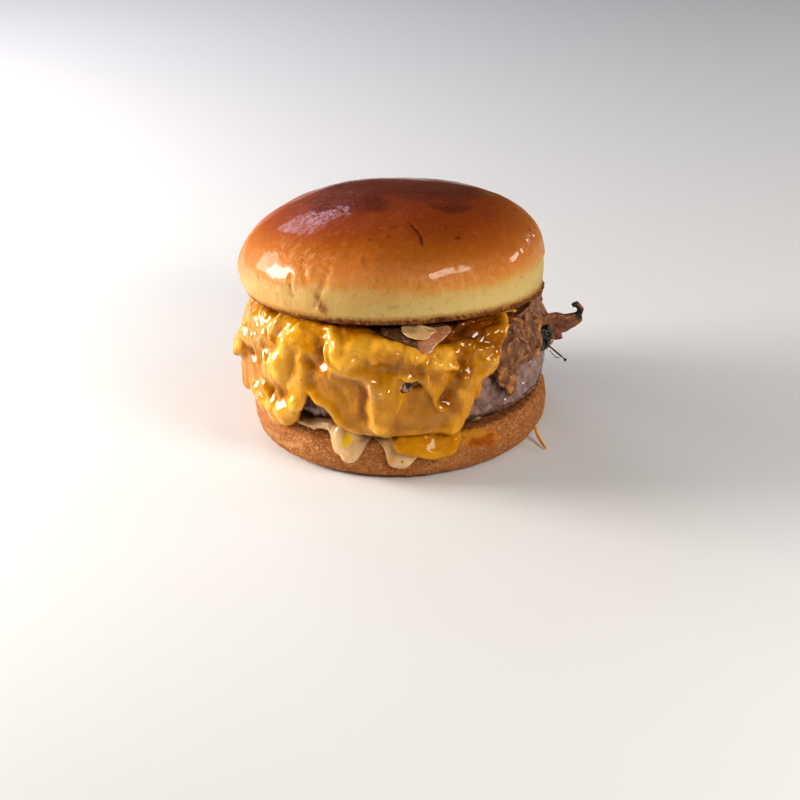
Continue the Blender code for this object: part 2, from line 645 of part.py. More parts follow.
def make_ham(finish):
    """A folded slice of ham on the cheese, its tip hanging out under the upper bun at the front."""

    def place(column, row, side):
        half, middle = ham_spread(row)
        azimuth = middle + (2 * column - 1) * half
        travel = 0.6 + 0.9 * row
        fold = HAM_FOLD * max(math.sin(column * math.pi * 2), 0) * smooth((row - 0.4) / 0.3)
        return above_cheese(azimuth, travel, HAM_LIFT + fold + side * HAM_THICKNESS)

    return patch("ham", finish, 11, 11, place)


def make_dab(finish):
    """The dab of sauce on the ham, squeezed out under the upper bun."""

    def place(column, row, side):
        half = 7 * math.sqrt(max(1 - (2 * row - 1) ** 2 * 0.8, 0.1))
        azimuth = HAM_AZIMUTH + 1.2 + (2 * column - 1) * half
        travel = 1.0 + 0.3 * row
        middle = (1 - (2 * column - 1) ** 4) * (1 - (2 * row - 1) ** 4)
        lift = HAM_LIFT + HAM_FOLD + HAM_THICKNESS + GAP + side * (0.15 + DAB_THICKNESS * middle)
        return above_cheese(azimuth, travel, lift)

    return patch("dab", finish, 9, 8, place)


def main():
    for old in list(bpy.data.objects):
        bpy.data.objects.remove(old)
    crust = material("crust", (0.52, 0.2, 0.05), 0.3)
    crumb = material("crumb", (0.5, 0.22, 0.08), 0.7)
    beef = material("beef", (0.13, 0.07, 0.055), 0.45)
    pork = material("pork", (0.33, 0.14, 0.07), 0.5)
    cheddar = material("cheddar", (0.72, 0.34, 0.03), 0.25)
    sauce = material("sauce", (0.72, 0.48, 0.25), 0.3)
    ham = material("ham", (0.5, 0.24, 0.15), 0.4)
    make_heel(crumb)
    make_sauce(sauce)
    make_patty(beef)
    make_under_cheese(cheddar)
    make_pork(pork)
    make_cheese(cheddar)
    make_ham(ham)
    make_dab(sauce)
    make_crown(crust)
    make_string(cheddar)


main()
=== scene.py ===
"""A cheeseburger with pulled pork, dressed piece by piece over its fixed frame.

The file is laid out as an add-on: groups of settings, an operator for each piece and a panel that lists
them. Lengths are in millimetres, and MM turns them into Blender's metres. Azimuths are in degrees: 0 is
the front (-Y) and 90 the right (+X). Every piece keeps its place in its mesh, with its object at the
origin. Surfaces are drawn on with strokes: routes of (azimuth, height) points, each with a half width and
a rise or strength.
"""
import math

import bmesh
import bpy
import numpy as np
from mathutils import Matrix, Vector, noise
from mathutils.bvhtree import BVHTree


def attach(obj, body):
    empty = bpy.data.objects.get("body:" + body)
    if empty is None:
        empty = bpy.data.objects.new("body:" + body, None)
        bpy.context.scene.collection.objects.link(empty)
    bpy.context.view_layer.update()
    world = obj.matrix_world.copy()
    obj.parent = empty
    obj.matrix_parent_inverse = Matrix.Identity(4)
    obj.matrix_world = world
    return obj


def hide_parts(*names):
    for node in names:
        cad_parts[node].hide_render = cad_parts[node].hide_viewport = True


bl_info = {
    "name": "Pulled pork cheeseburger",
    "version": (1, 0, 0),
    "blender": (4, 5, 0),
    "location": "View3D > Sidebar > Burger",
    "description": "Builds a cheeseburger with pulled pork over its fixed frame",
    "category": "Add Mesh",
}

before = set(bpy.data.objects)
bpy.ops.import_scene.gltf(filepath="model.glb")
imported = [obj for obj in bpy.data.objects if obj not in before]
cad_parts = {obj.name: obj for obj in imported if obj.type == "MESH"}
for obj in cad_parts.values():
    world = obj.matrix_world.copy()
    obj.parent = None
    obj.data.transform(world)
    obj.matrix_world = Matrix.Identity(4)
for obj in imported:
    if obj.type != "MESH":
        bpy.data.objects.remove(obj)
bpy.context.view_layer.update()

MM = 0.001
CUT_Z = 49.5  # height of the upper bun's cut face at the middle
CUT_LEAN = math.radians(9.2)  # how far that face leans back
CROWN_CENTRE_X = -3.9
CAGE_ROUNDS = 3  # how often a coarse cage is swollen so that its smooth form passes through its corners
CAP_HOLD = 1.6  # how far the rim of a flat end is held in
SPECK = 400  # an even mesh keeps parts with at least this many points
CAP_FACING = 0.9  # a face is part of a flat end when it points this much up or down
SHRINK, SWELL = 0.5, -0.52  # shares of the two passes that ease a mesh without shrinking it
ROD_SIDES = 8
FAR_OUT = 90  # a ray that finds the skin starts this far from the axis
USUAL_RADIUS = 52  # used where such a ray finds nothing
LEVEL = np.array((1.0, 1.0, 0.0))  # takes the height out of a direction


# ---- meshes ---------------------------------------------------------------------------------------


def merged(node):
    """A closed mesh of a frame node's own form, its doubles merged."""
    mesh = bmesh.new()
    mesh.from_mesh(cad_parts[node].data)
    bmesh.ops.remove_doubles(mesh, verts=mesh.verts, dist=1e-6)
    return mesh


def raised(name, mesh):
    """An object in the scene made of that mesh."""
    data = bpy.data.meshes.new(name)
    mesh.to_mesh(data)
    mesh.free()
    made = bpy.data.objects.new(name, data)
    bpy.context.scene.collection.objects.link(made)
    return made


def settled(piece):
    """The piece with its modifiers taken into its mesh."""
    bpy.context.view_layer.update()
    graph = bpy.context.evaluated_depsgraph_get()
    data = bpy.data.meshes.new_from_object(piece.evaluated_get(graph), depsgraph=graph)
    old = piece.data
    piece.modifiers.clear()
    piece.data = data
    bpy.data.meshes.remove(old)
    data.name = piece.name
    return piece


def smoothly_divided(name, node, levels, crease=0.0, sharp=50.0, caps=()):
    """A frame node's form as a fine, smooth mesh; edges sharper than that angle keep a crease.

    caps are the flat ends, -1 below and 1 above, whose faces are held back from the rim first.
    """
    mesh = merged(node)
    for side in caps:
        flat = [f for f in mesh.faces if f.normal.z * side > CAP_FACING]
        bmesh.ops.inset_region(mesh, faces=flat, thickness=CAP_HOLD * MM, use_even_offset=True)
    bmesh.ops.join_triangles(mesh, faces=mesh.faces, angle_face_threshold=0.6, angle_shape_threshold=0.9)
    if crease:
        layer = mesh.edges.layers.float.new("crease_edge")
        for edge in mesh.edges:
            if edge.is_manifold and math.degrees(edge.calc_face_angle(0)) > sharp:
                edge[layer] = crease
    piece = raised(name, mesh)
    divide = piece.modifiers.new("Divide", "SUBSURF")
    divide.levels = divide.render_levels = levels
    wanted = corners(piece)
    for _ in range(CAGE_ROUNDS):
        bpy.context.view_layer.update()
        eased = corners(piece.evaluated_get(bpy.context.evaluated_depsgraph_get()))[:len(wanted)]
        place(piece, corners(piece) + wanted - eased)
    return settled(piece)


def evenly_meshed(name, node, pitch, easing, core=0.0):
    """A frame node's form as an even fine mesh, its facets eased; a hidden core becomes two flat caps."""
    piece = raised(name, merged(node))
    remesh = piece.modifiers.new("Even", "REMESH")
    remesh.mode = "VOXEL"
    remesh.voxel_size = pitch * MM
    settled(piece)
    whole_only(piece)
    relaxed(piece, easing)
    if core:
        capped(piece, core)
    return piece


def whole_only(piece):
    """Takes out the loose specks that an even mesh leaves where the form is thinner than its pitch."""
    mesh = bmesh.new()
    mesh.from_mesh(piece.data)
    left = set(mesh.verts)
    while left:
        group, edge = set(), {left.pop()}
        while edge:
            group |= edge
            edge = {e.other_vert(v) for v in edge for e in v.link_edges} - group
        left -= group
        if len(group) < SPECK:
            bmesh.ops.delete(mesh, geom=list(group), context="VERTS")
    mesh.to_mesh(piece.data)
    mesh.free()


def rod(name, route, widths):
    """A bent, tapering rod along a route in millimetres, rounded at both ends."""
    path = np.array([tuple(p) for p in route], float)
    shares = np.linspace(0, len(path) - 1, 6 * (len(path) - 1) + 1)
    line = np.stack([np.interp(shares, range(len(path)), path[:, k]) for k in range(3)], 1)
    thick = np.interp(shares, range(len(path)), widths)
    ends = np.minimum(shares, shares[::-1])
    thick = thick * np.clip(0.35 + ends * 3, 0, 1)
    rings = []
    for k, (middle, width) in enumerate(zip(line, thick)):
        along = Vector(line[min(k + 1, len(line) - 1)] - line[max(k - 1, 0)]).normalized()
        across = along.orthogonal().normalized()
        over = along.cross(across)
        rings.append([Vector(middle) + (across * math.cos(t) + over * math.sin(t)) * width
                      for t in full_turn(ROD_SIDES)])
    return tube(name, rings)


def full_turn(sides):
    """Evenly spread angles once round."""
    return [2 * math.pi * k / sides for k in range(sides)]


def tube(name, rings):
    """A closed tube through rings of points in millimetres."""
    mesh = bmesh.new()
    rows = [[mesh.verts.new(point * MM) for point in ring] for ring in rings]
    for low, high in zip(rows, rows[1:]):
        for k in range(len(low)):
            after = (k + 1) % len(low)
            mesh.faces.new((low[k], low[after], high[after], high[k]))
    mesh.faces.new(rows[0][::-1])
    mesh.faces.new(rows[-1])
    bmesh.ops.recalc_face_normals(mesh, faces=mesh.faces)
    return raised(name, mesh)


def neighbour_mean(piece):
    """A function that gives each point of the piece the mean of its neighbours' values."""
    edges = np.empty(len(piece.data.edges) * 2, np.int32)
    piece.data.edges.foreach_get("vertices", edges)
    edges = edges.reshape(-1, 2)
    count = np.bincount(edges.ravel(), minlength=len(piece.data.vertices)).reshape(-1, 1)

    def mean(values):
        total = np.zeros_like(values)
        for axis in range(values.shape[1]):
            total[:, axis] = np.bincount(edges[:, 0], values[edges[:, 1], axis], len(values))
            total[:, axis] += np.bincount(edges[:, 1], values[edges[:, 0], axis], len(values))
        return total / count

    return mean


def relaxed(piece, rounds):
    """Eases a mesh's facets without shrinking it: each round smooths, then swells back."""
    points, mean = corners(piece), neighbour_mean(piece)
    for _ in range(rounds):
        for share in (SHRINK, SWELL):
            points = points + share * (mean(points) - points)
    place(piece, points)


def softened(piece, values, rounds):
    """The values at the piece's points, spread over their neighbours so that they change gently."""
    values, mean = values.reshape(-1, 1), neighbour_mean(piece)
    for _ in range(rounds):
        values = 0.5 * values + 0.5 * mean(values)
    return values.ravel()


def capped(piece, radius):
    """Takes out what lies within that radius of the axis and closes each skin with one flat cap."""
    mesh = bmesh.new()
    mesh.from_mesh(piece.data)
    inner = [v for v in mesh.verts if math.hypot(v.co.x, v.co.y) < radius * MM]
    bmesh.ops.delete(mesh, geom=inner, context="VERTS")
    loose = [v for v in mesh.verts if not v.link_faces]
    bmesh.ops.delete(mesh, geom=loose, context="VERTS")
    rims = [e for e in mesh.edges if e.is_boundary]
    closed = bmesh.ops.holes_fill(mesh, edges=rims, sides=0)["faces"]
    bmesh.ops.triangulate(mesh, faces=closed)
    bmesh.ops.recalc_face_normals(mesh, faces=mesh.faces)
    mesh.to_mesh(piece.data)
    mesh.free()


def corners(piece):
    """The piece's points, in millimetres."""
    points = np.empty(len(piece.data.vertices) * 3)
    piece.data.vertices.foreach_get("co", points)
    return points.reshape(-1, 3) / MM


def place(piece, points):
    """Moves the piece's points to these, in millimetres."""
    piece.data.vertices.foreach_set("co", (points * MM).ravel())
    piece.data.update()


def facing(piece):
    """The direction in which each of the piece's points faces."""
    normals = np.empty(len(piece.data.vertices) * 3)
    piece.data.vertex_normals.foreach_get("vector", normals)
    return normals.reshape(-1, 3)


def painted(piece, name, values):
    """Keeps a number at each point, for the piece's material."""
    layer = piece.data.attributes.get(name) or piece.data.attributes.new(name, "FLOAT", "POINT")
    layer.data.foreach_set("value", np.asarray(values, np.float32))


def finished(piece, finish, slot, *nodes):
    """Gives a piece its finish and its place in the frame, and hides the nodes that it stands for."""
    piece.data.materials.clear()
    piece.data.materials.append(finish)
    piece.data.shade_smooth()
    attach(piece, "root")
    if nodes:
        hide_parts(*nodes)
    return piece


# ---- fields over a surface ------------------------------------------------------------------------


def around(azimuth, radius, height):
    """The point at that azimuth, radius and height."""
    turn = math.radians(azimuth)
    return Vector((radius * math.sin(turn), -radius * math.cos(turn), height))


def azimuths(points):
    """The azimuth of each point, in degrees."""
    return np.degrees(np.arctan2(points[:, 0], -points[:, 1]))


def radii(points):
    """The distance of each point from the axis."""
    return np.hypot(points[:, 0], points[:, 1])


def outward(points):
    """The level direction that leads away from the axis at each point."""
    return points / radii(points)[:, None] * LEVEL


def share_along(normals, directions):
    """How far each normal points in its direction, -1 to 1."""
    return np.einsum("ij,ij->i", normals, directions)


def step(low, high, values):
    """0 below low, 1 above high and eased between; low may be the higher of the two."""
    share = np.clip((values - low) / (high - low), 0, 1)
    return share * share * (3 - 2 * share)


def bell(centre, spread, values):
    """1 at the centre, falling off over the spread."""
    return np.exp(-(((values - centre) / spread) ** 2))


def blot(off_one, off_other, reach_one, reach_other):
    """1 in the middle of a round patch, from the distances off it each way, falling off over its reach."""
    return bell(0, 1, np.hypot(off_one / reach_one, off_other / reach_other))


def cloud(points, size, seed=0.0, octaves=1):
    """Smooth noise of about that size, roughly -1 to 1. The size may be one number or one for each axis."""
    scaled = points / np.asarray(size, float) + np.array((seed, seed * 1.7, -seed))
    if octaves == 1:
        return np.array([noise.noise(Vector(p)) for p in scaled.tolist()])
    return np.array([noise.fractal(Vector(p), 0.9, 2.1, octaves) for p in scaled.tolist()])


def bent(points, reach, size, seed=0.0):
    """The points pushed about by smooth noise, so that what is drawn on them looks made by chance."""
    return points + reach * np.stack([cloud(points, size, seed + k) for k in range(3)], 1)


def creased(points, size, seed=0.0, warp=0.0):
    """Rounded folds with sharp valleys between them, 0 in the valleys and 1 on the crests."""
    if warp:
        shift = [warp * cloud(points, np.asarray(size) * 1.9, seed + 11 + k) for k in range(3)]
        points = points + np.stack(shift, 1)
    return np.minimum(np.abs(cloud(points, size, seed)) * 2.2, 1.0)


def cells(points, size, seed=0.0):
    """Packed lumps: 1 in the middle of each and 0 where two meet."""
    scaled = points / size + seed
    found = [noise.voronoi(Vector(p))[0] for p in scaled.tolist()]
    near = np.array([(d[0], d[1]) for d in found])
    return np.clip((near[:, 1] - near[:, 0]) * 1.6, 0, 1)


def to_line(points, line):
    """The distance of each point from a broken line."""
    best = np.full(len(points), 1e9)
    ends = [np.array(p, float) for p in line]
    for a, b in zip(ends, ends[1:] or ends):
        run = b - a
        share = np.clip((points - a) @ run / max(run @ run, 1e-9), 0, 1)[:, None]
        best = np.minimum(best, np.linalg.norm(points - a - share * run, axis=1))
    return best


def ridge(distance, width):
    """A rounded ridge with level feet."""
    return np.clip(1 - (distance / (1.7 * width)) ** 2, 0, 1) ** 2


def skin_finder(node):
    """Finds the point on the outside of a frame node at an azimuth and a height."""
    mesh = merged(node)
    tree = BVHTree.FromBMesh(mesh)
    mesh.free()

    def find(azimuth, height):
        start = around(azimuth, FAR_OUT, height) * MM
        inward = around(azimuth, -1, 0)
        hit = tree.ray_cast(start, inward)[0]
        return np.array(hit) / MM if hit else np.array(around(azimuth, USUAL_RADIUS, height))

    return find


def strokes_over(points, strokes, find):
    """The sum of the listed ridges and hollows: half width, rise, then (azimuth, height) points."""
    total = np.zeros(len(points))
    for width, rise, *route in strokes:
        line = [find(*spot) for spot in route]
        middle = np.mean(line, 0)
        reach = max(np.linalg.norm(p - middle) for p in line) + 1.8 * width
        near = np.linalg.norm(points - middle, axis=1) < reach
        total[near] += rise * ridge(to_line(points[near], line), width)
    return total


def cut_level(points):
    """The height of the upper bun's cut face above each point's place."""
    return CUT_Z - points[:, 1] * math.tan(CUT_LEAN)


# ---- materials ------------------------------------------------------------------------------------


def tint(code):
    """The linear colour of a six-digit screen colour."""
    parts = [int(code[i:i + 2], 16) / 255 for i in (0, 2, 4)]
    return tuple(p / 12.92 if p <= 0.04045 else ((p + 0.055) / 1.055) ** 2.4 for p in parts)


class Flow:
    """A number, colour or direction on its way through a material's nodes."""

    def __init__(self, finish, socket):
        self.finish = finish
        self.socket = socket

    def by(self, operation, other):
        return self.finish.node("ShaderNodeMath", {"operation": operation}, {0: self, 1: other})

    def __add__(self, other):
        return self.by("ADD", other)

    __radd__ = __add__

    def __mul__(self, other):
        return self.by("MULTIPLY", other)

    __rmul__ = __mul__

    def __sub__(self, other):
        return self.by("SUBTRACT", other)

    def __rsub__(self, other):
        return (self * -1.0) + other

    def between(self, low, high):
        """0 where this is at low and 1 where it is at high, eased between."""
        if low > high:
            return 1 - self.between(high, low)
        settings = {"interpolation_type": "SMOOTHSTEP"}
        return self.finish.node("ShaderNodeMapRange", settings, {0: self, 1: low, 2: high})


class Finish:
    """A material in the making: a Principled shader and the nodes that feed it."""

    def __init__(self, name, **constants):
        self.material = bpy.data.materials.new(name)
        self.material.use_nodes = True
        self.tree = self.material.node_tree
        self.shader = self.tree.nodes["Principled BSDF"]
        for key, value in constants.items():
            self.shader.inputs[key.replace("_", " ").title().replace("Ior", "IOR")].default_value = value
        self.coordinates = self.node("ShaderNodeTexCoord", output="Object")

    def node(self, kind, settings=None, inputs=None, output=0):
        """Adds any node: its settings first, then the values or links of its sockets."""
        made = self.tree.nodes.new(kind)
        for key, value in (settings or {}).items():
            if key == "stops":
                stops = made.color_ramp.elements
                stops.remove(stops[1])
                stops[0].position, stops[0].color = value[0][0], (*value[0][1], 1)
                for position, shade in value[1:]:
                    stops.new(position).color = (*shade, 1)
            else:
                setattr(made, key, value)
        for key, value in (inputs or {}).items():
            self.feed(made.inputs[key], value)
        return Flow(self, made.outputs[output])

    def feed(self, socket, value):
        if isinstance(value, Flow):
            self.tree.links.new(value.socket, socket)
        elif socket.type == "RGBA":
            socket.default_value = (*value, 1)
        else:
            socket.default_value = value

    def kept(self, name):
        """A number that the piece keeps at each point."""
        return self.node("ShaderNodeAttribute", {"attribute_name": name}, output="Fac")

    def grain(self, size, detail=2.0, roughness=0.5, warp=0.0, stretch=(1, 1, 1), turn=(0, 0, 0)):
        """Cloudy noise of about that size in millimetres, 0 to 1."""
        where = self.coordinates
        if stretch != (1, 1, 1) or turn != (0, 0, 0):
            rotation = tuple(math.radians(t) for t in turn)
            scale = tuple(1 / s for s in stretch)
            where = self.node("ShaderNodeMapping", None, {0: where, "Rotation": rotation, "Scale": scale})
        inputs = {"Vector": where, "Scale": 1 / (size * MM), "Detail": detail,
                  "Roughness": roughness, "Distortion": warp}
        return self.node("ShaderNodeTexNoise", None, inputs)

    def spots(self, size):
        """The distance from scattered points of that spacing."""
        inputs = {"Vector": self.coordinates, "Scale": 1 / (size * MM)}
        return self.node("ShaderNodeTexVoronoi", None, inputs)

    def ramp(self, value, stops):
        """A colour for each value."""
        return self.node("ShaderNodeValToRGB", {"stops": stops}, {0: value})

    def blend(self, factor, below, above, kind="MIX"):
        """Two colours mixed."""
        settings = {"data_type": "RGBA", "blend_type": kind, "clamp_factor": True}
        return self.node("ShaderNodeMix", settings, {0: factor, 6: below, 7: above}, 2)

    def relief(self, *layers):
        """Bumps of (height, depth in millimetres), one over the other."""
        normal = None
        for height, depth in layers:
            inputs = {"Height": height, "Distance": depth * MM, "Strength": 1.0}
            if normal is not None:
                inputs["Normal"] = normal
            normal = self.node("ShaderNodeBump", None, inputs)
        self.set("Normal", normal)

    def set(self, socket, value):
        self.feed(self.shader.inputs[socket], value)


# ---- repeated shapes ------------------------------------------------------------------------------


def scatter_tree(name, shape):
    """Geometry nodes that scatter a small shape over a surface where its "scatter" number allows it."""
    tree = bpy.data.node_groups.new(name, "GeometryNodeTree")
    faces = tree.interface
    faces.new_socket("Geometry", in_out="INPUT", socket_type="NodeSocketGeometry")
    for label, kind in (("Density", "Float"), ("Size", "Float"), ("Spread", "Float"), ("Sink", "Float"),
                        ("Lay", "Float"), ("Seed", "Int"), ("Finish", "Material")):
        faces.new_socket(label, in_out="INPUT", socket_type=f"NodeSocket{kind}")
    faces.new_socket("Geometry", in_out="OUTPUT", socket_type="NodeSocketGeometry")
    nodes, links = tree.nodes, tree.links

    def add(kind, settings=None, inputs=None):
        made = nodes.new(kind)
        for key, value in (settings or {}).items():
            setattr(made, key, value)
        for key, value in (inputs or {}).items():
            if isinstance(value, bpy.types.NodeSocket):
                links.new(value, made.inputs[key])
            else:
                made.inputs[key].default_value = value
        return made

    given = add("NodeGroupInput").outputs
    where = add("GeometryNodeInputNamedAttribute", {"data_type": "FLOAT"}, {"Name": "scatter"})
    density = add("ShaderNodeMath", {"operation": "MULTIPLY"}, {0: where.outputs[0], 1: given["Density"]})
    spots = add("GeometryNodeDistributePointsOnFaces", None,
                {"Mesh": given["Geometry"], "Density": density.outputs[0], "Seed": given["Seed"]})
    turn = add("FunctionNodeRandomValue", {"data_type": "FLOAT"},
               {2: 0.0, 3: 2 * math.pi, "Seed": given["Seed"]})
    upright = add("FunctionNodeAlignRotationToVector", {"axis": "Z"}, {"Vector": spots.outputs["Normal"]})
    spin = add("FunctionNodeAxisAngleToRotation", None, {"Axis": (0, 0, 1), "Angle": turn.outputs[1]})
    tip = add("FunctionNodeRandomValue", {"data_type": "FLOAT_VECTOR"}, {"Seed": given["Seed"]})
    spread = add("ShaderNodeVectorMath", {"operation": "SCALE"}, {0: tip.outputs[0], "Scale": given["Lay"]})
    lean = add("FunctionNodeEulerToRotation", None, {0: spread.outputs[0]})
    spun = add("FunctionNodeRotateRotation", {"rotation_space": "LOCAL"},
               {0: upright.outputs[0], 1: spin.outputs[0]})
    leant = add("FunctionNodeRotateRotation", {"rotation_space": "LOCAL"},
                {0: spun.outputs[0], 1: lean.outputs[0]})
    least = add("ShaderNodeMath", {"operation": "SUBTRACT"}, {0: 1.0, 1: given["Spread"]})
    most = add("ShaderNodeMath", {"operation": "ADD"}, {0: 1.0, 1: given["Spread"]})
    share = add("FunctionNodeRandomValue", {"data_type": "FLOAT"},
                {2: least.outputs[0], 3: most.outputs[0], "Seed": given["Seed"]})
    size = add("ShaderNodeMath", {"operation": "MULTIPLY"}, {0: share.outputs[1], 1: given["Size"]})
    model = add("GeometryNodeObjectInfo", {"transform_space": "ORIGINAL"}, {"Object": shape})
    sunk = add("ShaderNodeVectorMath", {"operation": "SCALE"},
               {0: spots.outputs["Normal"], "Scale": given["Sink"]})
    kept = add("GeometryNodeStoreNamedAttribute", {"data_type": "FLOAT_VECTOR", "domain": "POINT"},
               {"Geometry": spots.outputs["Points"], "Name": "sunk", "Value": sunk.outputs[0]})
    placed = add("GeometryNodeInstanceOnPoints", None,
                 {"Points": kept.outputs[0], "Instance": model.outputs["Geometry"],
                  "Rotation": leant.outputs[0], "Scale": size.outputs[0]})
    down = add("GeometryNodeInputNamedAttribute", {"data_type": "FLOAT_VECTOR"}, {"Name": "sunk"})
    moved = add("GeometryNodeTranslateInstances", None,
                {"Instances": placed.outputs[0], "Translation": down.outputs[0], "Local Space": False})
    real = add("GeometryNodeRealizeInstances", None, {"Geometry": moved.outputs[0]})
    coloured = add("GeometryNodeSetMaterial", None,
                   {"Geometry": real.outputs[0], "Material": given["Finish"]})
    out = nodes.new("NodeGroupOutput")
    links.new(coloured.outputs[0], out.inputs[0])
    return tree


def scattered(name, ground, where, shape, finish, slot, **settings):
    """A piece of many small shapes over part of another piece's surface."""
    painted(ground, "scatter", where)
    piece = bpy.data.objects.new(name, ground.data.copy())
    bpy.context.scene.collection.objects.link(piece)
    tree = scatter_tree(name, shape)
    live = piece.modifiers.new("Scatter", "NODES")
    live.node_group = tree
    settings = {"Finish": finish, **{key.title(): value for key, value in settings.items()}}
    for socket in tree.interface.items_tree:
        if socket.in_out == "INPUT" and socket.name in settings:
            live[socket.identifier] = settings[socket.name]
    settled(piece)
    bpy.data.node_groups.remove(tree)
    bpy.data.objects.remove(shape)
    return finished(piece, finish, slot)


def grit(flatness, seed):
    """One small uneven grain, about 1 across, to be scattered."""
    mesh = bmesh.new()
    bmesh.ops.create_icosphere(mesh, subdivisions=1, radius=0.5)
    for corner in mesh.verts:
        corner.co *= 1 + 0.45 * noise.noise(corner.co * 2.3 + Vector((seed, seed, 0)))
        corner.co.z *= flatness
    return raised("grain", mesh)


# ---- settings -------------------------------------------------------------------------------------


def colour_setting(name, code, description):
    """A colour setting."""
    return bpy.props.FloatVectorProperty(
        name=name, description=description, subtype="COLOR", size=3, min=0, max=1, default=tint(code))


def depth_setting(name, value, description):
    """A depth setting: given in millimetres here, and kept in metres as Blender's lengths are."""
    return bpy.props.FloatProperty(
        name=name, description=description, subtype="DISTANCE", default=value * MM, min=0, soft_max=5 * MM)


def share_setting(name, description):
    """A setting that scales something; at 1 it is as it was drawn."""
    return bpy.props.FloatProperty(
        name=name, description=description, subtype="FACTOR", default=1, min=0, soft_max=2)


class BunSettings(bpy.types.PropertyGroup):
    """Both halves of the bun"""

    shine: colour_setting("Top", "8c3c12", "Crust on the very top")
    crust: colour_setting("Crust", "b0651f", "Crust half way up")
    tan: colour_setting("Tan", "cf8f45", "Crust where it turns pale")
    crumb: colour_setting("Crumb", "cfb878", "Pale band above the cut edge")
    toast: colour_setting("Toast", "6b3417", "Toasted cut edge")
    scorch: colour_setting("Scorch", "3c1008", "Darkest patches of the crust")
    heel: colour_setting("Lower crust", "ca844a", "Matte crust of the lower bun")
    unevenness: depth_setting("Unevenness", 0.45, "How far the crust swells and dips")
    creases: share_setting("Creases", "Share of the drawn creases' depth")


class MeatSettings(bpy.types.PropertyGroup):
    """Beef, pork and ham"""

    beef: colour_setting("Beef", "aa8070", "Cooked side of the patty")
    fat: colour_setting("Fat", "bba594", "Streaks of fat in the beef")
    char: colour_setting("Char", "120b08", "Burnt parts")
    pork: colour_setting("Pork", "ca8848", "Pulled pork")
    # Painted shade between the shreds.
    pork_shade: colour_setting("Dark pork", "603214", "Between the shreds")
    ham: colour_setting("Ham", "bc8058", "Thin folded slice")
    grain: depth_setting("Coarseness", 0.85, "Depth of the minced beef's lumps")


class CheeseSettings(bpy.types.PropertyGroup):
    """Melted cheese and sauce"""

    # Crests, body and hollows are painted light on the crests and painted shade in the hollows.
    light: colour_setting("Crests", "de9c1e", "Cheese on the crests")
    body: colour_setting("Body", "ca880c", "Cheese between crest and hollow")
    deep: colour_setting("Hollows", "b87808", "Thin cheese in the hollows")
    sauce: colour_setting("Sauce", "e6bd84", "Creamy sauce")
    pepper: colour_setting("Pepper", "241a12", "Specks in the sauce")
    folds: share_setting("Folds", "Share of the drawn folds' height")
    wrinkle: depth_setting("Wrinkles", 0.22, "Depth of the fine wrinkles")


SETTINGS = {"burger_bun": BunSettings, "burger_meat": MeatSettings, "burger_cheese": CheeseSettings}


# ---- the upper bun --------------------------------------------------------------------------------

# Top of the pale band: azimuth, height over the cut face
BAND_TOP = ((-180, 7.0), (-120, 5.0), (-75, 0.8), (-40, 2.2), (-12, 6.6), (10, 8.2), (35, 8.4), (60, 9.8),
            (90, 12.5), (130, 10.0), (180, 7.0))
# Creases of the upper crust: half width, rise, then (azimuth, height) points
CROWN_CREASES = (
    (0.8, -0.4, (-43.5, 69.8), (-42.5, 66.8), (-41.5, 63.7)),
    (1.0, -0.5, (-27.8, 73.7), (-28.6, 69.5), (-29.9, 65.6), (-31.0, 62.6)),
    (1.0, -0.25, (-40.5, 74.1), (-37.7, 71.3), (-35.2, 68.5)),
    (2.2, 0.1, (-34.5, 73.0), (-33.5, 68.0), (-34.0, 64.0)),
    (2.6, 0.1, (-24.0, 72.5), (-24.5, 67.0), (-26.5, 63.0)),
    (0.7, -0.2, (-52.0, 69.0), (-50.0, 64.5)),
    (0.7, -0.2, (-60.0, 66.0), (-57.0, 62.0)),
    (0.7, -0.4, (10.7, 83.8), (12.4, 82.8), (13.3, 81.5), (13.6, 79.5)),
    (0.6, -0.3, (-2.7, 83.9), (3.6, 83.8), (10.7, 83.8)),
    (1.5, 0.6, (-29.5, 64.8), (-28.6, 62.0)),
    (0.6, -0.3, (60.0, 74.0), (63.0, 68.0)),
    (0.6, -0.3, (70.0, 73.0), (72.0, 67.5)),
    (1.4, 0.5, (74.0, 64.3), (84.0, 63.2)),
)
# Dark cracks and scorched specks, drawn like the creases
CROWN_MARKS = (
    (0.45, 1.0, (10.7, 83.8), (12.4, 82.8), (13.3, 81.5), (13.6, 79.5)),
    (0.4, 0.35, (-2.7, 83.9), (3.6, 83.8), (10.7, 83.8)),
    (0.35, 0.8, (-42.9, 66.8), (-41.5, 63.7)),
    (0.9, 0.45, (-29.8, 64.8), (-28.6, 62.0)),
    (0.8, 1.0, (79.0, 73.4)), (0.5, 0.9, (-39.0, 86.0)), (0.6, 0.9, (-60.0, 83.6)),
    (0.5, 0.9, (-51.0, 84.4)), (0.6, 0.8, (31.0, 80.4), (33.0, 80.2)), (0.4, 0.8, (-14.0, 82.0)),
    (0.4, 0.8, (-24.0, 81.6)),
)
# Scorched patches on the top: half width, strength, then (x, y) points
CROWN_PATCHES = (
    (3.4, 0.8, (14, -17), (18, -16.5), (23, -15)),
    (5.5, 0.8, (-24, -11), (-15, -14), (-7, -16.5)),
    (6.0, 0.5, (-28, 2), (-20, -6), (-8, -8)),
    (13.0, 0.8, (-16, 10), (2, 5), (18, 6)),
    (8.0, 0.4, (8, -8), (20, -6), (24, 10)),
)
# Small blisters: azimuth, height
BLISTERS = ((43.9, 82.2), (16.4, 80.6), (-9.3, 77.1), (-15.7, 77.0), (-8.8, 79.8), (-5.6, 82.4),
            (-56.5, 67.8), (79.0, 71.0), (-15.2, 77.6), (45.5, 81.4))
BLISTER_RISE, BLISTER_WIDTH = 0.4, 0.65
# Zones where the glaze is crinkled: strength, azimuth, height, reach across in degrees and up
CRINKLED_SIDES = ((0.35, 24, 71, 18, 5), (0.9, 82, 73, 22, 7))
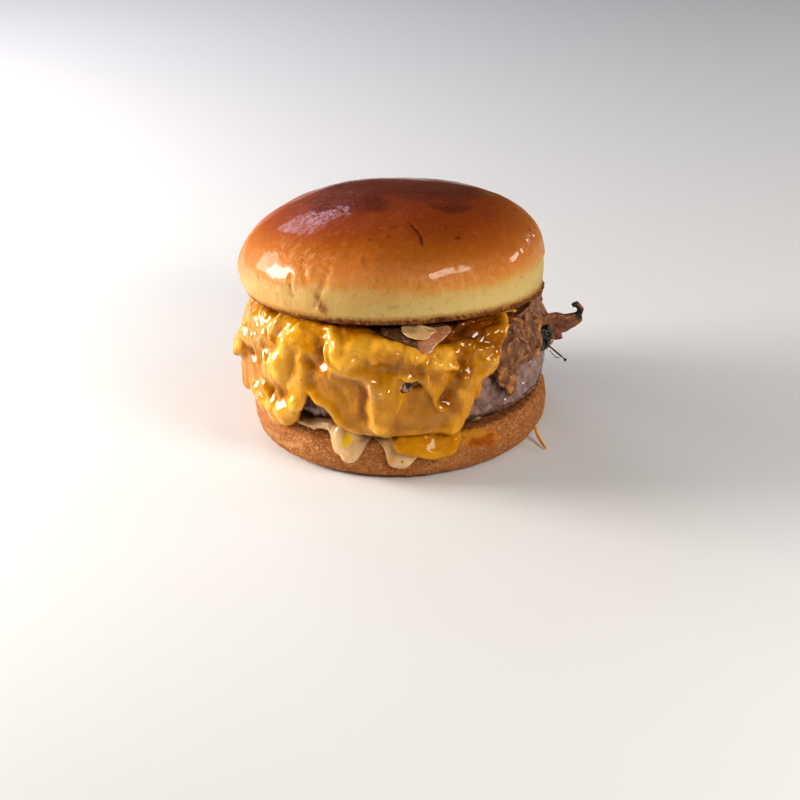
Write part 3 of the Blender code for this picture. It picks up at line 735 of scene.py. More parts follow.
# The same on the top: x, y and the reach of each
CRINKLED_TOPS = ((-25, -12, 16, 16), (33, 6, 12, 18))
CRINKLE_DEPTH = 0.13
BAKE_START, BAKE_SPAN = 9, 38  # the crust browns from this far under the pale band's top, over this height


def crown_frame(points):
    """Azimuth and height over the cut face of each point of the upper bun."""
    rise = points[:, 2] - CUT_Z
    back = points[:, 1] * math.cos(CUT_LEAN) - rise * math.sin(CUT_LEAN)
    height = points[:, 1] * math.sin(CUT_LEAN) + rise * math.cos(CUT_LEAN)
    return np.degrees(np.arctan2(points[:, 0] - CROWN_CENTRE_X, -back)), height


def ring_values(ring, angles):
    """Values at the angles along a closed ring of (azimuth, value) points."""
    return np.interp(angles, [p[0] for p in ring], [p[1] for p in ring])


def crust_finish(look):
    """Egg-washed crust: mahogany on top, tan lower down and a pale band above the toasted edge, with
    painted light that makes the left side paler and a warm tint over it.
    """
    finish = Finish("crust", roughness=0.4, coat_roughness=0.08, specular_ior_level=0.08,
                    subsurface_weight=0.08, subsurface_radius=(0.004, 0.002, 0.001), subsurface_scale=0.5)
    # The bake value holds the browning and the painted light that pales the left side.
    up = finish.kept("bake") + (finish.grain(8, 4) - 0.5) * 0.09 + (finish.grain(1.6, 3) - 0.5) * 0.04
    base = finish.ramp(up, (
        (0.0, tint("c2a666")), (0.12, look.crumb), (0.22, tint("ceb06e")),
        (0.31, look.tan), (0.44, tint("c67a34")), (0.62, look.crust),
        (0.80, tint("9a4a12")), (0.96, look.shine)))
    # A warm tint over the painted light on the lower left.
    base = finish.blend(finish.kept("warm"), base, tint("f4d4ba"), "MULTIPLY")
    patch = finish.kept("patch") + (finish.grain(7, 6, 0.75, 1.4) - 0.5) * 1.5
    base = finish.blend(patch.between(0.2, 0.9) * 0.52, base, look.scorch)
    mottle = finish.grain(2.6, 4, 0.7)
    base = finish.blend(mottle.between(0.52, 0.75) * 0.3, base, tint("7a3710"))
    base = finish.blend(mottle.between(0.46, 0.25) * 0.25, base, tint("d99a54"))
    fleck = finish.spots(2.4).between(0.17, 0.09) * finish.grain(9, 1).between(0.5, 0.62)
    base = finish.blend(fleck * finish.kept("flecks"), base, tint("260a05"))
    dust = finish.grain(2.4, 4, 0.7, 0.8, (0.7, 0.7, 2.4)).between(0.46, 0.72) * finish.kept("dusty")
    base = finish.blend(dust * 0.5, base, tint("e8b486"))
    base = finish.blend(finish.kept("mark"), base, tint("40120a"))
    edge = finish.kept("rim") + (finish.grain(1.25, 4, 0.75) - 0.5) * 1.0
    base = finish.blend(edge.between(0.2, 0.75) * 0.7, base, tint("a9763c"))
    base = finish.blend(edge.between(0.72, 1.05) * 0.9, base, look.toast)
    base = finish.blend(edge.between(1.0, 1.2) * 0.9, base, tint("3a1a0c"))
    finish.set("Base Color", base)
    matte = finish.kept("matte")
    finish.set("Roughness", 0.42 + matte * 0.3 + (finish.grain(1.6, 2) - 0.5) * 0.12)
    worn = finish.grain(2.2, 4, 0.7, 0.8).between(0.48, 0.55)
    glaze = 1 - finish.kept("crinkle") * (1 - worn)
    finish.set("Coat Weight", (1 - matte) * glaze * (1 - finish.kept("dusty") * 0.35) * 0.55)
    finish.relief((finish.grain(1.1, 3, 0.65), 0.07), (finish.grain(3.0, 2), 0.12),
                  (finish.grain(2.2, 3, 0.6, 0.9) * finish.kept("crinkle"), 0.6))
    return finish.material


class MakeCrown(bpy.types.Operator):
    """The upper bun, with its creases, blisters, pale band and toasted edge"""

    bl_idname = "burger.make_crown"
    bl_label = "Upper bun"

    def execute(self, context):
        look = context.scene.burger_bun
        piece = smoothly_divided("upper_bun", "crown", 3, 0.45, 50, (-1,))
        points, normals = corners(piece), facing(piece)
        angles, height = crown_frame(points)
        outside = step(-0.2, 0.3, normals[:, 2] + 0.6)
        left = bell(-45, 42, angles) * step(26, 12, height)
        find = skin_finder("crown")
        long_lumps = cloud(np.stack((angles * 0.9, height * 0.35, height * 0), 1), 7, 4)
        rise = look.unevenness / MM * (cloud(points, 17, 2) + 0.4 * cloud(points, 7, 9))
        rise = rise * step(1, 6, height) + 0.2 * left * long_lumps
        drawn = bent(points, 0.8, 3.5, 23)
        rise += strokes_over(drawn, CROWN_CREASES, find) * look.creases
        for spot in BLISTERS:
            rise += BLISTER_RISE * bell(0, BLISTER_WIDTH, np.linalg.norm(points - find(*spot), axis=1))
        crinkled = sum(blot(points[:, 0] - x, points[:, 1] - y, wide, deep)
                       for x, y, wide, deep in CRINKLED_TOPS)
        crinkled += sum(strength * blot(angles - azimuth, points[:, 2] - level, across, up)
                        for strength, azimuth, level, across, up in CRINKLED_SIDES)
        crinkled = np.clip(crinkled, 0, 1)
        rise += CRINKLE_DEPTH * crinkled * cloud(points * (1, 1, 0.6), 2.4, 51, 2)
        band = ring_values(BAND_TOP, angles)
        tuck = bell(84, 26, angles) * step(0.6, -0.8, height - band)
        ragged = step(2.2, 0.6, height) * (0.3 * cloud(points, 2.4, 6) + 0.25 * cloud(points, 1.1, 8))
        apart = (points - (CROWN_CENTRE_X, 0, 0)) * LEVEL
        apart /= np.maximum(np.linalg.norm(apart, axis=1), 20)[:, None]
        inset = 0.7 * tuck - 0.35 * bell(0.9, 0.7, height) - ragged
        place(piece, points + normals * (rise * outside)[:, None] - apart * inset[:, None])
        # Painted light: the left side is painted paler and given a warm tint, as if lit from that side.
        left_painted_light = 7.6 * bell(-46, 46, angles) * step(31, 14, height)
        # The crust is also painted darker on the right side.
        darker_right = 3.2 * bell(50, 45, angles) * step(1, 10, height - band)
        baked_and_lit = height - band + BAKE_START + darker_right - left_painted_light * step(-1, 5, height - band)
        painted(piece, "bake", baked_and_lit / BAKE_SPAN)
        painted(piece, "warm", 0.8 * bell(-62, 42, angles) * step(24, 8, height))
        flat = points * LEVEL
        scorched = strokes_over(bent(flat, 2.2, 7, 91), CROWN_PATCHES, lambda *spot: np.array((*spot, 0.0)))
        painted(piece, "patch", np.clip(scorched, 0, 1) * step(15, 22, height))
        painted(piece, "mark", np.clip(strokes_over(drawn, CROWN_MARKS, find), 0, 1))
        painted(piece, "flecks", step(22, 30, height))
        scab = 0.85 * step(2.6, 0.6, to_line(drawn, [find(-30.4, 65.2), find(-28.6, 62.0)]))
        runnel = 0.2 * bell(20, 2.2, angles) * step(14, 4, height)
        painted(piece, "rim", step(4.2, 1.0, height) + runnel + scab)
        painted(piece, "crinkle", crinkled)
        dusty = bell(-40, 27, angles) * step(27, 19, height)
        dusty += 0.8 * bell(30, 26, angles) * step(22, 14, height)
        painted(piece, "dusty", dusty * step(1, 4, height))
        sides = 0.65 * step(66, 92, np.abs(angles)) * step(33, 26, height)
        painted(piece, "matte", np.maximum(step(5.5, -0.5, height - band), sides))
        finished(piece, crust_finish(look), "crust", "crown")
        return {"FINISHED"}


# ---- the lower bun --------------------------------------------------------------------------------


HEEL_TOP = 15.6
# The grease stain, its burnt core and yellow edge, and pale flour, with painted light on the right side:
# half width, strength, then the route
STAINS = (
    ("grease", ((3.2, 0.9, (26, 13.4), (31, 12.4), (37, 11.2)),)),
    ("core", ((1.9, 1.0, (29.0, 12.0), (32.5, 10.8), (36.5, 9.8)), (1.0, 0.8, (34.5, 12.4), (38, 11.6)))),
    ("pale", ((2.6, 0.65, (-62, 6), (-50.6, 5.7), (-41, 7.5)), (2.2, 0.5, (-20, 6), (-12, 7)),
              # painted light: lightens the lower bun's right side
              (4.0, 0.35, (40, 6.5), (52, 7.5), (64, 9)))),
    ("yolk", ((1.3, 0.9, (25.5, 14.3), (30, 13.6), (34.5, 13.3)),)),
)


def heel_finish(look):
    """Matte lower crust, fine grained, darker along the toasted top edge."""
    finish = Finish("lower crust", roughness=0.62, coat_weight=0.0, specular_ior_level=0.12,
                    subsurface_weight=0.06, subsurface_radius=(0.003, 0.0015, 0.001), subsurface_scale=0.5)
    cloudy = finish.grain(9, 4, 0.6)
    base = finish.blend(cloudy.between(0.3, 0.7), tint("b8713a"), look.heel)
    base = finish.blend(finish.grain(4.0, 4, 0.7).between(0.52, 0.72) * 0.6, base, tint("d6a067"))
    base = finish.blend(finish.grain(0.95, 3, 0.8).between(0.5, 0.64) * 0.75, base, tint("8a4a24"))
    base = finish.blend(finish.grain(1.05, 3, 0.8, 0.4).between(0.49, 0.34) * 0.75, base, tint("efc08a"))
    # Pale flour, and painted light on the right side.
    pale = finish.kept("pale") + (finish.grain(1.6, 4, 0.8) - 0.5) * 1.4
    base = finish.blend(pale.between(0.4, 0.9) * 0.8, base, tint("efbd84"))
    toast = finish.kept("toast") + (finish.grain(1.9, 4, 0.75) - 0.5) * 0.9
    base = finish.blend(toast.between(0.4, 0.85) * 0.75, base, tint("6d3212"))
    ledge = finish.blend(finish.grain(2.2, 4, 0.75).between(0.4, 0.62), tint("70401c"), tint("b4763e"))
    base = finish.blend(finish.kept("cut") * 0.85, base, ledge)
    mess = (finish.grain(1.3, 5, 0.85, 0.6) - 0.5) * 3.4
    stain = finish.kept("grease") + mess
    base = finish.blend(stain.between(0.2, 0.9) * 0.85, base, tint("e8941c"))
    base = finish.blend((finish.kept("core") + mess).between(0.2, 0.9) * 0.85, base, tint("b4520a"))
    base = finish.blend((finish.kept("yolk") + mess).between(0.2, 1.2) * 0.85, base, tint("e6a436"))
    finish.set("Base Color", base)
    finish.set("Roughness", 0.66 - stain.between(0.3, 0.7) * 0.4 + (finish.grain(1.6, 2) - 0.5) * 0.15)
    finish.relief((finish.grain(1.0, 4, 0.85), 1.1), (finish.grain(3.2, 3), 0.5))
    return finish.material


class MakeHeel(bpy.types.Operator):
    """The lower bun, with its grainy crust, toasted edge and grease stain"""

    bl_idname = "burger.make_heel"
    bl_label = "Lower bun"

    def execute(self, context):
        look = context.scene.burger_bun
        piece = smoothly_divided("lower_bun", "heel", 3, 0.5, 40, (-1, 1))
        points, normals = corners(piece), facing(piece)
        angles, height = azimuths(points), points[:, 2]
        side = step(0.05, 0.5, height) * step(HEEL_TOP + 0.2, HEEL_TOP - 1.2, height)
        rise = 0.4 * cloud(points, 13, 3) + 0.2 * cloud(points, 3.4, 5) + 0.14 * cloud(points, 1.6, 7)
        rise -= 0.25 * step(0.25, 0.6, cloud(points, 2.8, 21)) * side
        rough = bell(70, 45, angles) * step(12.5, 14.6, height) * side
        rise += 0.5 * rough * cloud(points, 2.0, 27, 2)
        points = points + normals * (rise * side)[:, None]
        points[:, 2] = np.maximum(points[:, 2], 0)
        place(piece, points)
        find = skin_finder("heel")
        painted(piece, "toast", step(11.5, 15.2, height) * (0.3 + 0.25 * bell(62, 42, angles)))
        painted(piece, "cut", step(0.7, 0.95, normals[:, 2]))
        drawn = bent(points, 0.9, 3.0, 35)
        for name, strokes in STAINS:
            painted(piece, name, np.clip(strokes_over(drawn, strokes, find), 0, 1))
        finished(piece, heel_finish(look), "crumb", "heel")
        return {"FINISHED"}


# ---- the patty ------------------------------------------------------------------------------------


def beef_finish(look):
    """Wet, grey-brown minced beef with pale streaks of fat and burnt patches."""
    finish = Finish("beef", coat_weight=1.0, coat_roughness=0.09, specular_ior_level=0.2,
                    subsurface_weight=0.1, subsurface_radius=(0.002, 0.001, 0.0007), subsurface_scale=0.6)
    base = finish.blend(finish.grain(4.5, 4, 0.65).between(0.3, 0.7), tint("8a6a63"), look.beef)
    streak = finish.grain(1.9, 4, 0.7, 1.2, (0.8, 0.8, 2.2), (0, -25, 0))
    base = finish.blend(streak.between(0.53, 0.66) * 0.6, base, look.fat)
    base = finish.blend(streak.between(0.46, 0.3) * 0.65, base, tint("43271f"))
    # Painted shade in the hollows between the lumps.
    base = finish.blend(finish.kept("hollow").between(0.4, 1.0) * 0.7, base, tint("4a2c22"))
    burnt = finish.kept("burnt") + (finish.grain(1.6, 3, 0.7) - 0.5) * 0.9
    base = finish.blend(burnt.between(0.35, 0.75), base, look.char)
    finish.set("Base Color", base)
    finish.set("Roughness", 0.3 + finish.grain(2.4, 3).between(0.35, 0.7) * 0.3)
    strands = finish.grain(2.2, 2, 0.6, 0.8, (0.8, 0.8, 2.2), (0, -22, 0))
    finish.relief((finish.grain(1.1, 3, 0.7), 0.22), (strands, 1.5))
    return finish.material


# Wet ridges of the minced beef: half width, rise, then (azimuth, height) points
BEEF_RIDGES = (
    (0.8, 0.7, (31.7, 20.6), (34, 22.4)), (0.8, 0.8, (35.6, 22.8), (38.5, 25.5)),
    (0.8, 0.8, (41.1, 24.3), (45.7, 25.7)), (0.9, 0.9, (52, 22.9), (57.8, 24)),
    (0.8, 0.8, (61.6, 24), (64.4, 29.8)), (0.8, 0.9, (70.4, 23.6), (73.3, 28.5), (79, 30.4)),
    (0.8, 0.9, (77, 21), (80, 26), (83, 29)), (0.7, 0.6, (47, 21), (51, 20)),
    (0.7, 0.6, (66, 20.5), (71, 22)),
)


class MakePatty(bpy.types.Operator):
    """The beef patty, coarse and wet"""

    bl_idname = "burger.make_patty"
    bl_label = "Patty"

    def execute(self, context):
        look = context.scene.burger_meat
        piece = smoothly_divided("beef_patty", "patty", 3, 0, 50, (-1, 1))
        points, normals = corners(piece), facing(piece)
        angles = azimuths(points)
        warped = bent(points, 1.2, 6, 31)
        lump = cells(warped, 4.2)
        slanted = warped @ np.array(((1, 0, 0), (0, 1, 0), (0.35, 0, 1.0)))
        fibre = creased(slanted, (2.6, 2.6, 7.5), 12)
        side = step(0.95, 0.6, np.abs(normals[:, 2]))
        rise = look.grain / MM * (0.5 * (lump - 0.75) + 0.9 * (fibre - 0.6))
        rise += 0.35 * cloud(points, 12, 8)
        rise += 0.35 * cloud(warped, 3.0, 18, 2)
        rise += strokes_over(bent(points, 0.8, 3, 55), BEEF_RIDGES, skin_finder("patty"))
        place(piece, points + normals * (rise * side)[:, None])
        # Painted shade: highest in the hollows between lumps and fibres.
        painted(piece, "hollow", 1 - np.minimum(0.4 + lump, 1) * (0.4 + 0.6 * fibre))
        burnt = 1.1 * bell(-40, 3, angles) * step(23, 19, points[:, 2])
        burnt += 0.3 * step(18.6, 17.2, points[:, 2])
        painted(piece, "burnt", burnt)
        finished(piece, beef_finish(look), "beef", "patty")
        return {"FINISHED"}


# ---- sauce ----------------------------------------------------------------------------------------


def sauce_finish(look):
    """Creamy, slightly translucent sauce."""
    finish = Finish("sauce", roughness=0.24, coat_weight=1.0, coat_roughness=0.06, subsurface_weight=0.25,
                    subsurface_radius=(0.003, 0.002, 0.001), subsurface_scale=0.6)
    base = finish.blend(finish.grain(4, 3).between(0.35, 0.7) * 0.6, look.sauce, tint("cfa069"))
    base = finish.blend(finish.kept("thin"), base, tint("8a5a2c"))
    # Painted shade.
    base = finish.blend(finish.kept("dim"), base, tint("4a2a14"))
    base = finish.blend(finish.kept("amber") * 0.6, base, tint("d08a34"))
    base = finish.blend(finish.kept("egg"), base, tint("e2b40e"))
    base = finish.blend(finish.kept("speck"), base, look.pepper)
    finish.set("Base Color", base)
    finish.relief((finish.grain(1.6, 2), 0.12), (finish.grain(3.4, 2), 0.4))
    return finish.material


def pepper_finish(look):
    """Ground pepper and burnt specks."""
    finish = Finish("pepper", roughness=0.6)
    finish.set("Base Color", finish.blend(finish.grain(0.4, 2), look.pepper, tint("4a3422")))
    return finish.material


SAUCE_EASING, SAUCE_ROUNDS = 14, 26  # rounds of easing before and after the sauce is shaped
DRIP_TIPS = ((-17.1, 9.6, -0.5), (-0.6, 6.4, 0.3))  # each drip's low end: azimuth, height and swelling
SAUCE_SPECKS = ((-27.5, 16.6, 0.8), (0.9, 8.8, 0.7), (-9.5, 15.2, 0.6))  # azimuth, height and width
EGG_SEAM = ((-19.6, 53.5, 14.4), (-18.4, 53.5, 17.0))  # a yellow streak: azimuth, radius and height
AMBER_SPOT = (-3.2, 9.2)  # where grease tints the right drip: azimuth and height


class MakeSauce(bpy.types.Operator):
    """The sauce on the lower bun with its pepper, and the dab on the ham"""

    bl_idname = "burger.make_sauce"
    bl_label = "Sauce"

    def execute(self, context):
        look = context.scene.burger_cheese
        finish = sauce_finish(look)
        self.run(look, finish)
        self.dab(finish)
        return {"FINISHED"}

    def swollen(self, piece):
        """The piece's points with a softly swollen outer side, its normals, and where that side is."""
        points, normals = corners(piece), facing(piece)
        outer = step(0.1, 0.6, share_along(normals, outward(points)))
        return points + normals * (0.3 * outer * cloud(points, 4.5, 3))[:, None], normals, outer

    def dab(self, finish):
        """The small dab on the ham."""
        piece = evenly_meshed("sauce_dab", "dab", 0.25, SAUCE_EASING)
        place(piece, bent(self.swollen(piece)[0], 2.0, 5, 83))
        relaxed(piece, SAUCE_ROUNDS)
        # A touch of painted shade on the dab.
        painted(piece, "dim", np.full(len(piece.data.vertices), 0.03))
        finished(piece, finish, "sauce", "dab")

    def run(self, look, finish):
        """The sauce on the lower bun: heaped at the left, lipped below that, with two drips."""
        piece = evenly_meshed("sauce_run", "sauce", 0.4, SAUCE_EASING, 40.0)
        angles = azimuths(corners(piece))
        points, normals, outer = self.swollen(piece)
        heap = bell(-25, 13, angles) * step(13, 15.5, points[:, 2]) * step(45.5, 49, radii(points))
        heap = softened(piece, heap, 12) * (1 + 0.4 * cloud(points, 3.8, 17))
        points = points + (normals + (0, 0, 3.0)) * heap[:, None]
        lip = bell(-29, 12, angles) * step(48.0, 50.8, radii(points)) * step(19.5, 15.0, points[:, 2])
        lip = softened(piece, lip, 30) * (1.2 + 0.5 * cloud(points, 4.0, 19))
        points = points + (0.7 * normals + 1.3 * outward(points) - (0, 0, 3.0)) * lip[:, None]
        turn = np.radians(angles)
        sideways = np.stack((np.cos(turn), np.sin(turn), turn * 0), 1)
        for azimuth, low, swell in DRIP_TIPS:
            tip = bell(low + 1.6, 2.2, points[:, 2]) * bell(azimuth, 5, angles)
            across = swell * np.clip((angles - azimuth) / 2.2, -1, 1)
            points = points + (sideways * across[:, None] + 0.5 * normals) * tip[:, None]
        place(piece, points)
        relaxed(piece, SAUCE_ROUNDS)
        points, find = corners(piece), skin_finder("sauce")
        seam = to_line(bent(points, 1.2, 1.9, 97), [around(*spot) for spot in EGG_SEAM])
        painted(piece, "thin", bell(-9.5, 4.2, angles) * step(0.2, 0.6, outer))
        painted(piece, "egg", step(1.7, 1.2, seam))
        # Painted shade on the right side, kept off a narrow strip near 36 degrees.
        painted(piece, "dim", step(18, 26, angles) * (1 - 0.8 * bell(36, 1.6, angles)))
        drawn = bent(points, 0.4, 1.2, 5)
        black = sum(step(width, 0.5 * width, np.linalg.norm(drawn - find(azimuth, level), axis=1))
                    for azimuth, level, width in SAUCE_SPECKS)
        painted(piece, "speck", np.clip(black, 0, 1))
        amber = np.linalg.norm(bent(points, 0.9, 2.5, 7) - find(*AMBER_SPOT), axis=1)
        painted(piece, "amber", step(2.4, 0.8, amber))
        finished(piece, finish, "sauce", "sauce")
        front = step(0.5, 0.8, outer) * bell(-16, 34, angles)
        scattered("sauce_pepper", piece, front, grit(0.5, 3), pepper_finish(look), "sauce",
                  density=3.2e4, size=0.95 * MM, spread=0.5, seed=6)


# ---- cheese ---------------------------------------------------------------------------------------

# Folds and hollows of the upper cheese: half width, rise, then (azimuth, height) points
CHEESE_STROKES = (
    # the lobe on the left and the streaks beside it
    (3.2, 1.2, (-78, 33), (-69, 39), (-57, 44.5), (-51.5, 48.4), (-48.4, 52)),
    (3.0, 0.5, (-73, 44), (-61, 50), (-51, 52)),
    (2.2, -1.3, (-69.6, 36), (-66, 35)),
    (1.5, 0.8, (-77, 32), (-73.5, 32)),
    (4.5, 1.2, (-48.5, 36.5), (-43, 36)),
    (1.2, 0.6, (-51, 45.3), (-49.6, 50.4), (-50.5, 51.8)),
    (1.2, 0.7, (-43.5, 50.8), (-43.8, 53)),
    (1.2, -0.3, (-46.9, 47.3), (-45.2, 51.5), (-46.2, 52.6)),
    (3.5, 1.3, (-40.7, 50.2), (-43.3, 44.5), (-44.6, 39.4)),
    (1.9, -0.1, (-37.9, 49.4), (-39.4, 42.8), (-38.1, 39.3), (-40.8, 34.2)),
    # hanging bands and the bulb below them
    (1.5, 0.7, (-59.7, 38.7), (-58.8, 30.7), (-51.2, 26.5)),
    (1.5, 0.5, (-53.1, 40.5), (-49.8, 34.5), (-45.6, 28.6)),
    (1.4, -0.3, (-55.3, 39.8), (-53, 32.2), (-48.9, 26.3)),
    (1.4, -0.3, (-62, 34), (-60.5, 28)),
    (3.5, 1.2, (-61.3, 22.4), (-51.8, 20.7), (-43.2, 21.8), (-37.8, 24.6)),
    (2.5, -0.6, (-48.8, 29), (-42.5, 28)),
    (2.6, 1.1, (-35.7, 47.4), (-35, 40), (-36.8, 32.3), (-36.7, 27)),
    (3.5, -0.9, (-30.5, 42.4), (-30, 35.2)),
    # upright folds
    (1.4, 1.3, (-25, 54), (-24.8, 49.8), (-24, 44.6)),
    (2.2, -0.8, (-28.3, 52.4), (-27.7, 48.1), (-27.1, 43.7)),
    (1.3, 1.0, (-23.2, 53), (-21.5, 50.3), (-21.1, 46.6)),
    (1.8, 0.7, (-39, 53.3), (-34.1, 50.8), (-30.6, 46.1)),
    (1.8, 1.2, (-18.3, 46.5), (-16.3, 45.6)),
    # the roll under the bun, its lip and the pane below it
    (4.0, 1.3, (-18.2, 48.4), (-10.8, 50.2), (-2.1, 49.6), (4.7, 48.5)),
    (1.8, 1.1, (-21.7, 42.7), (-16.2, 41.5), (-10.1, 39.5), (-6.7, 36.9)),
    (2.2, -0.8, (-20.4, 40), (-15, 38.6), (-10.8, 36.3)),
    (5.0, -0.4, (-18.9, 31.4), (-17.1, 27.3)),
    (1.4, 0.7, (-32.1, 32.8), (-26.5, 28.7), (-20.1, 24.2), (-15.1, 21.8)),
    (1.9, -0.8, (-11, 33.9), (-11.5, 26.3)),
    # the middle bulb
    (2.2, 1.0, (-8, 36.8), (-8.6, 29.1), (-7.3, 23.3)),
    (3.5, 0.9, (-4.5, 34), (-4.3, 24.8)),
    (1.0, 0.8, (2.9, 38.9), (0.5, 34.4), (-1, 28.9)),
    # the window and the pane to its right
    (1.3, 1.0, (2.2, 41), (5.6, 40.5), (9.9, 39.8)),
    (1.8, -1.9, (3.6, 37.4), (5.6, 38.2)),
    (1.4, 0.9, (9.6, 39), (11.9, 34.8), (15.2, 29.4)),
    (1.3, -0.6, (7.6, 38.7), (9.9, 34)),
    (5.0, -0.5, (5.5, 30.7), (10.6, 24.9)),
    (1.6, 1.0, (10, 43.9), (14.3, 44.2), (19.6, 43.6)),
    (2.0, 1.0, (16.5, 47.8),),
    (1.0, 0.5, (11.6, 48.8), (12.6, 45.8)),
    (2.0, -1.1, (18.4, 40.5), (17.7, 33.3), (16.4, 31.2)),
    (2.8, 0.8, (22.2, 39.7), (21.5, 33.5), (20.2, 26.6), (18.1, 20.6)),
    (1.2, 0.7, (22.2, 39.3), (23.9, 36.3)),
    (2.5, -1.1, (22.8, 44.9), (23, 41.7)),
    (1.4, 0.7, (29.7, 46.4), (32.8, 46.4)),
    (1.3, 0.8, (31.5, 42.3), (35, 42.4)),
    (1.5, 0.6, (36.6, 44.7), (32.7, 40.2), (28, 37.6), (26.8, 32.4), (24.5, 25.5)),
    (1.3, 0.7, (42.9, 51.8), (41.2, 49.4)),
    (1.5, 0.5, (7.4, 46.5), (11.1, 48.4), (15.2, 50.1)),
    (0.8, 0.45, (-1.1, 48.4), (2.3, 48.1)),
    (1.0, 0.6, (-8.9, 44.6), (-7.5, 45.9)),
    (0.8, 0.45, (-0.5, 41.4), (1.5, 40.6)),
    (0.8, 0.45, (5, 47.7), (7.1, 47.9)),
    (2.0, -0.5, (22.4, 51.7), (32.3, 50.3)),
    (3.0, -2.4, (17, 53.5), (25.9, 53.6), (33, 54.6), (40, 55)),
)
# Thin, pale cheese with painted sheen on the left, and painted shade with some browner cheese, drawn like
# the folds
CHEESE_THIN_AND_SHEEN = (
    (2.6, 0.9, (-21, 41), (-15.6, 40.1), (-10.8, 38.5), (-6.7, 36.9)),
    (3.0, 0.7, (-17.2, 23), (-13, 21), (-10, 20)),
    (2.4, 0.6, (-9.2, 34.3), (-9.3, 27.9), (-8.5, 21.2)),
    (3.0, 0.65, (-2, 24.6), (1, 24.2), (7.2, 23), (12.7, 24), (15.9, 26.2)),
    (2.6, 0.6, (-5.1, 45.7), (-0.1, 45.4)),
    # Painted sheen on the bulb and lobe at the left.
    (3.0, 0.5, (-50.1, 21.8), (-43.2, 21), (-38.4, 22.9)),
    (4.0, 0.9, (-65, 41), (-57, 45), (-51, 49)),
    (3.0, 0.7, (-58, 40), (-52, 35), (-46, 33)),
    (2.0, 0.5, (24, 30), (28.5, 36), (33, 43)),
)
# Mostly painted shade, under the bun, on the roll and in hollows and panes; partly browner cheese.
CHEESE_SHADE_AND_BROWN = (
    (3.4, 0.5, (-4.8, 48), (-0.1, 46.8), (4, 44.6)),
    (5.5, 1.0, (21.1, 51.6), (26.8, 51.1), (34.2, 49.3), (38.1, 46.6)),
    (3.4, 1.0, (23.2, 44.8), (23.7, 40.8)),
    (2.6, 0.9, (16.9, 33.2), (18.3, 29.6)),
    (6.0, 0.25, (3.2, 33.3), (9, 31.6), (14.6, 33.1)),
    (5.5, 0.1, (-18.8, 34.4), (-18.6, 28.5)),
    (3.4, 0.9, (-28, 55.3), (-18.2, 54.9), (-9.9, 52.4)),
    (3.2, 0.7, (7.3, 43.1), (12.6, 40.5)),
    (3.5, 1.0, (24, 54.5), (30, 55.5), (42, 56.5)),
    (4.5, 0.6, (-4.5, 34), (-4.2, 28), (-3, 24)),
    (3.0, 0.5, (22, 40), (21, 33), (20, 27)),
    (3.0, 0.5, (0, 23), (8, 22.5), (15, 24)),
    (3.5, 0.5, (-5, 45.5), (3, 45)),
)
# Where the cheese is wrinkled: azimuth, height, reach across in degrees and up in millimetres
WRINKLED = ((-60, 44, 18, 12), (-32, 48, 12, 9), (-55, 24, 16, 6), (2, 44, 12, 5), (14, 44, 9, 5),
            (33, 46, 12, 9), (20, 34, 6, 8), (-8, 47, 8, 4))
CHEESE_CENTRE = 30  # height from which the upper cheese's outer side is judged
# Turns azimuth, height and radius so that the wrinkles on the left run down to the right
PULLED_DOWN = ((0.63, 0.16, 0), (0.7, -0.18, 0), (0, 0, 0.3))
# Where meat shows through the upper cheese
WINDOW = ((2.6, 37.0), (4.4, 38.4), (6.2, 38.6))


def cheese_finish(look):
    """Molten cheese: yellow crests and amber hollows as painted light and shade, pale where thin or under
    painted sheen, darker under painted shade, and wet with grease.
    """
    finish = Finish("cheese", roughness=0.4, coat_roughness=0.05, specular_ior_level=0.0,
                    subsurface_weight=0.12, subsurface_radius=(0.004, 0.0016, 0.0003), subsurface_scale=0.4)
    # The height ramp paints light on the crests and shade in the hollows.
    height = finish.kept("height") + (finish.grain(6, 4, 0.6, 0.5) - 0.5) * 0.35
    height += (finish.grain(16, 1) - 0.5) * 0.3
    base = finish.ramp(height, (
        (0.0, tint("9a5a06")), (0.25, look.deep), (0.5, look.body), (0.8, look.light),
        (1.0, tint("efb03c"))))
    soft = (finish.grain(3.5, 3, 0.6, 0.4) - 0.5) * 0.7
    # Pale thin cheese, and painted sheen on the left.
    film = finish.kept("film") + soft * 0.6
    base = finish.blend(film.between(0.15, 1.1) * 0.8, base, tint("cf9a5a"))
    # Painted shade, partly browner cheese, multiplied into the colour.
    dusk = finish.kept("dusk") + soft * 0.5
    base = finish.blend(dusk.between(0.1, 1.0), base, tint("ccb872"), "MULTIPLY")
    streak = finish.grain(3.0, 3, 0.6, 0.5, (1, 1, 1.6))
    base = finish.blend(streak.between(0.54, 0.72) * 0.25, base, tint("f0b648"))
    base = finish.blend(streak.between(0.44, 0.28) * 0.35, base, tint("965c08"))
    speck = finish.spots(2.9).between(0.13, 0.07) * finish.grain(7, 1).between(0.5, 0.6)
    base = finish.blend(speck * 0.8, base, tint("4d2b0c"))
    bare = finish.kept("bare") + (finish.grain(1.2, 3) - 0.5) * 0.3
    meat = finish.blend(finish.grain(1.6, 3, 0.6, 0.6).between(0.45, 0.6), tint("3f1c0e"), tint("c89a80"))
    base = finish.blend(bare.between(0.4, 0.6), base, meat)
    finish.set("Base Color", base)
    finish.set("Coat Weight", 0.85 - finish.kept("calm") * 0.5)
    broken = finish.kept("wrinkled") * 0.8 + 0.2
    finish.relief((finish.grain(4.0, 2, 0.5, 1.0, (1, 1, 1.4)), 0.55),
                  (finish.grain(1.5, 3, 0.6, 1.2, (1, 1, 1.3)) * broken, 0.42))
    return finish.material


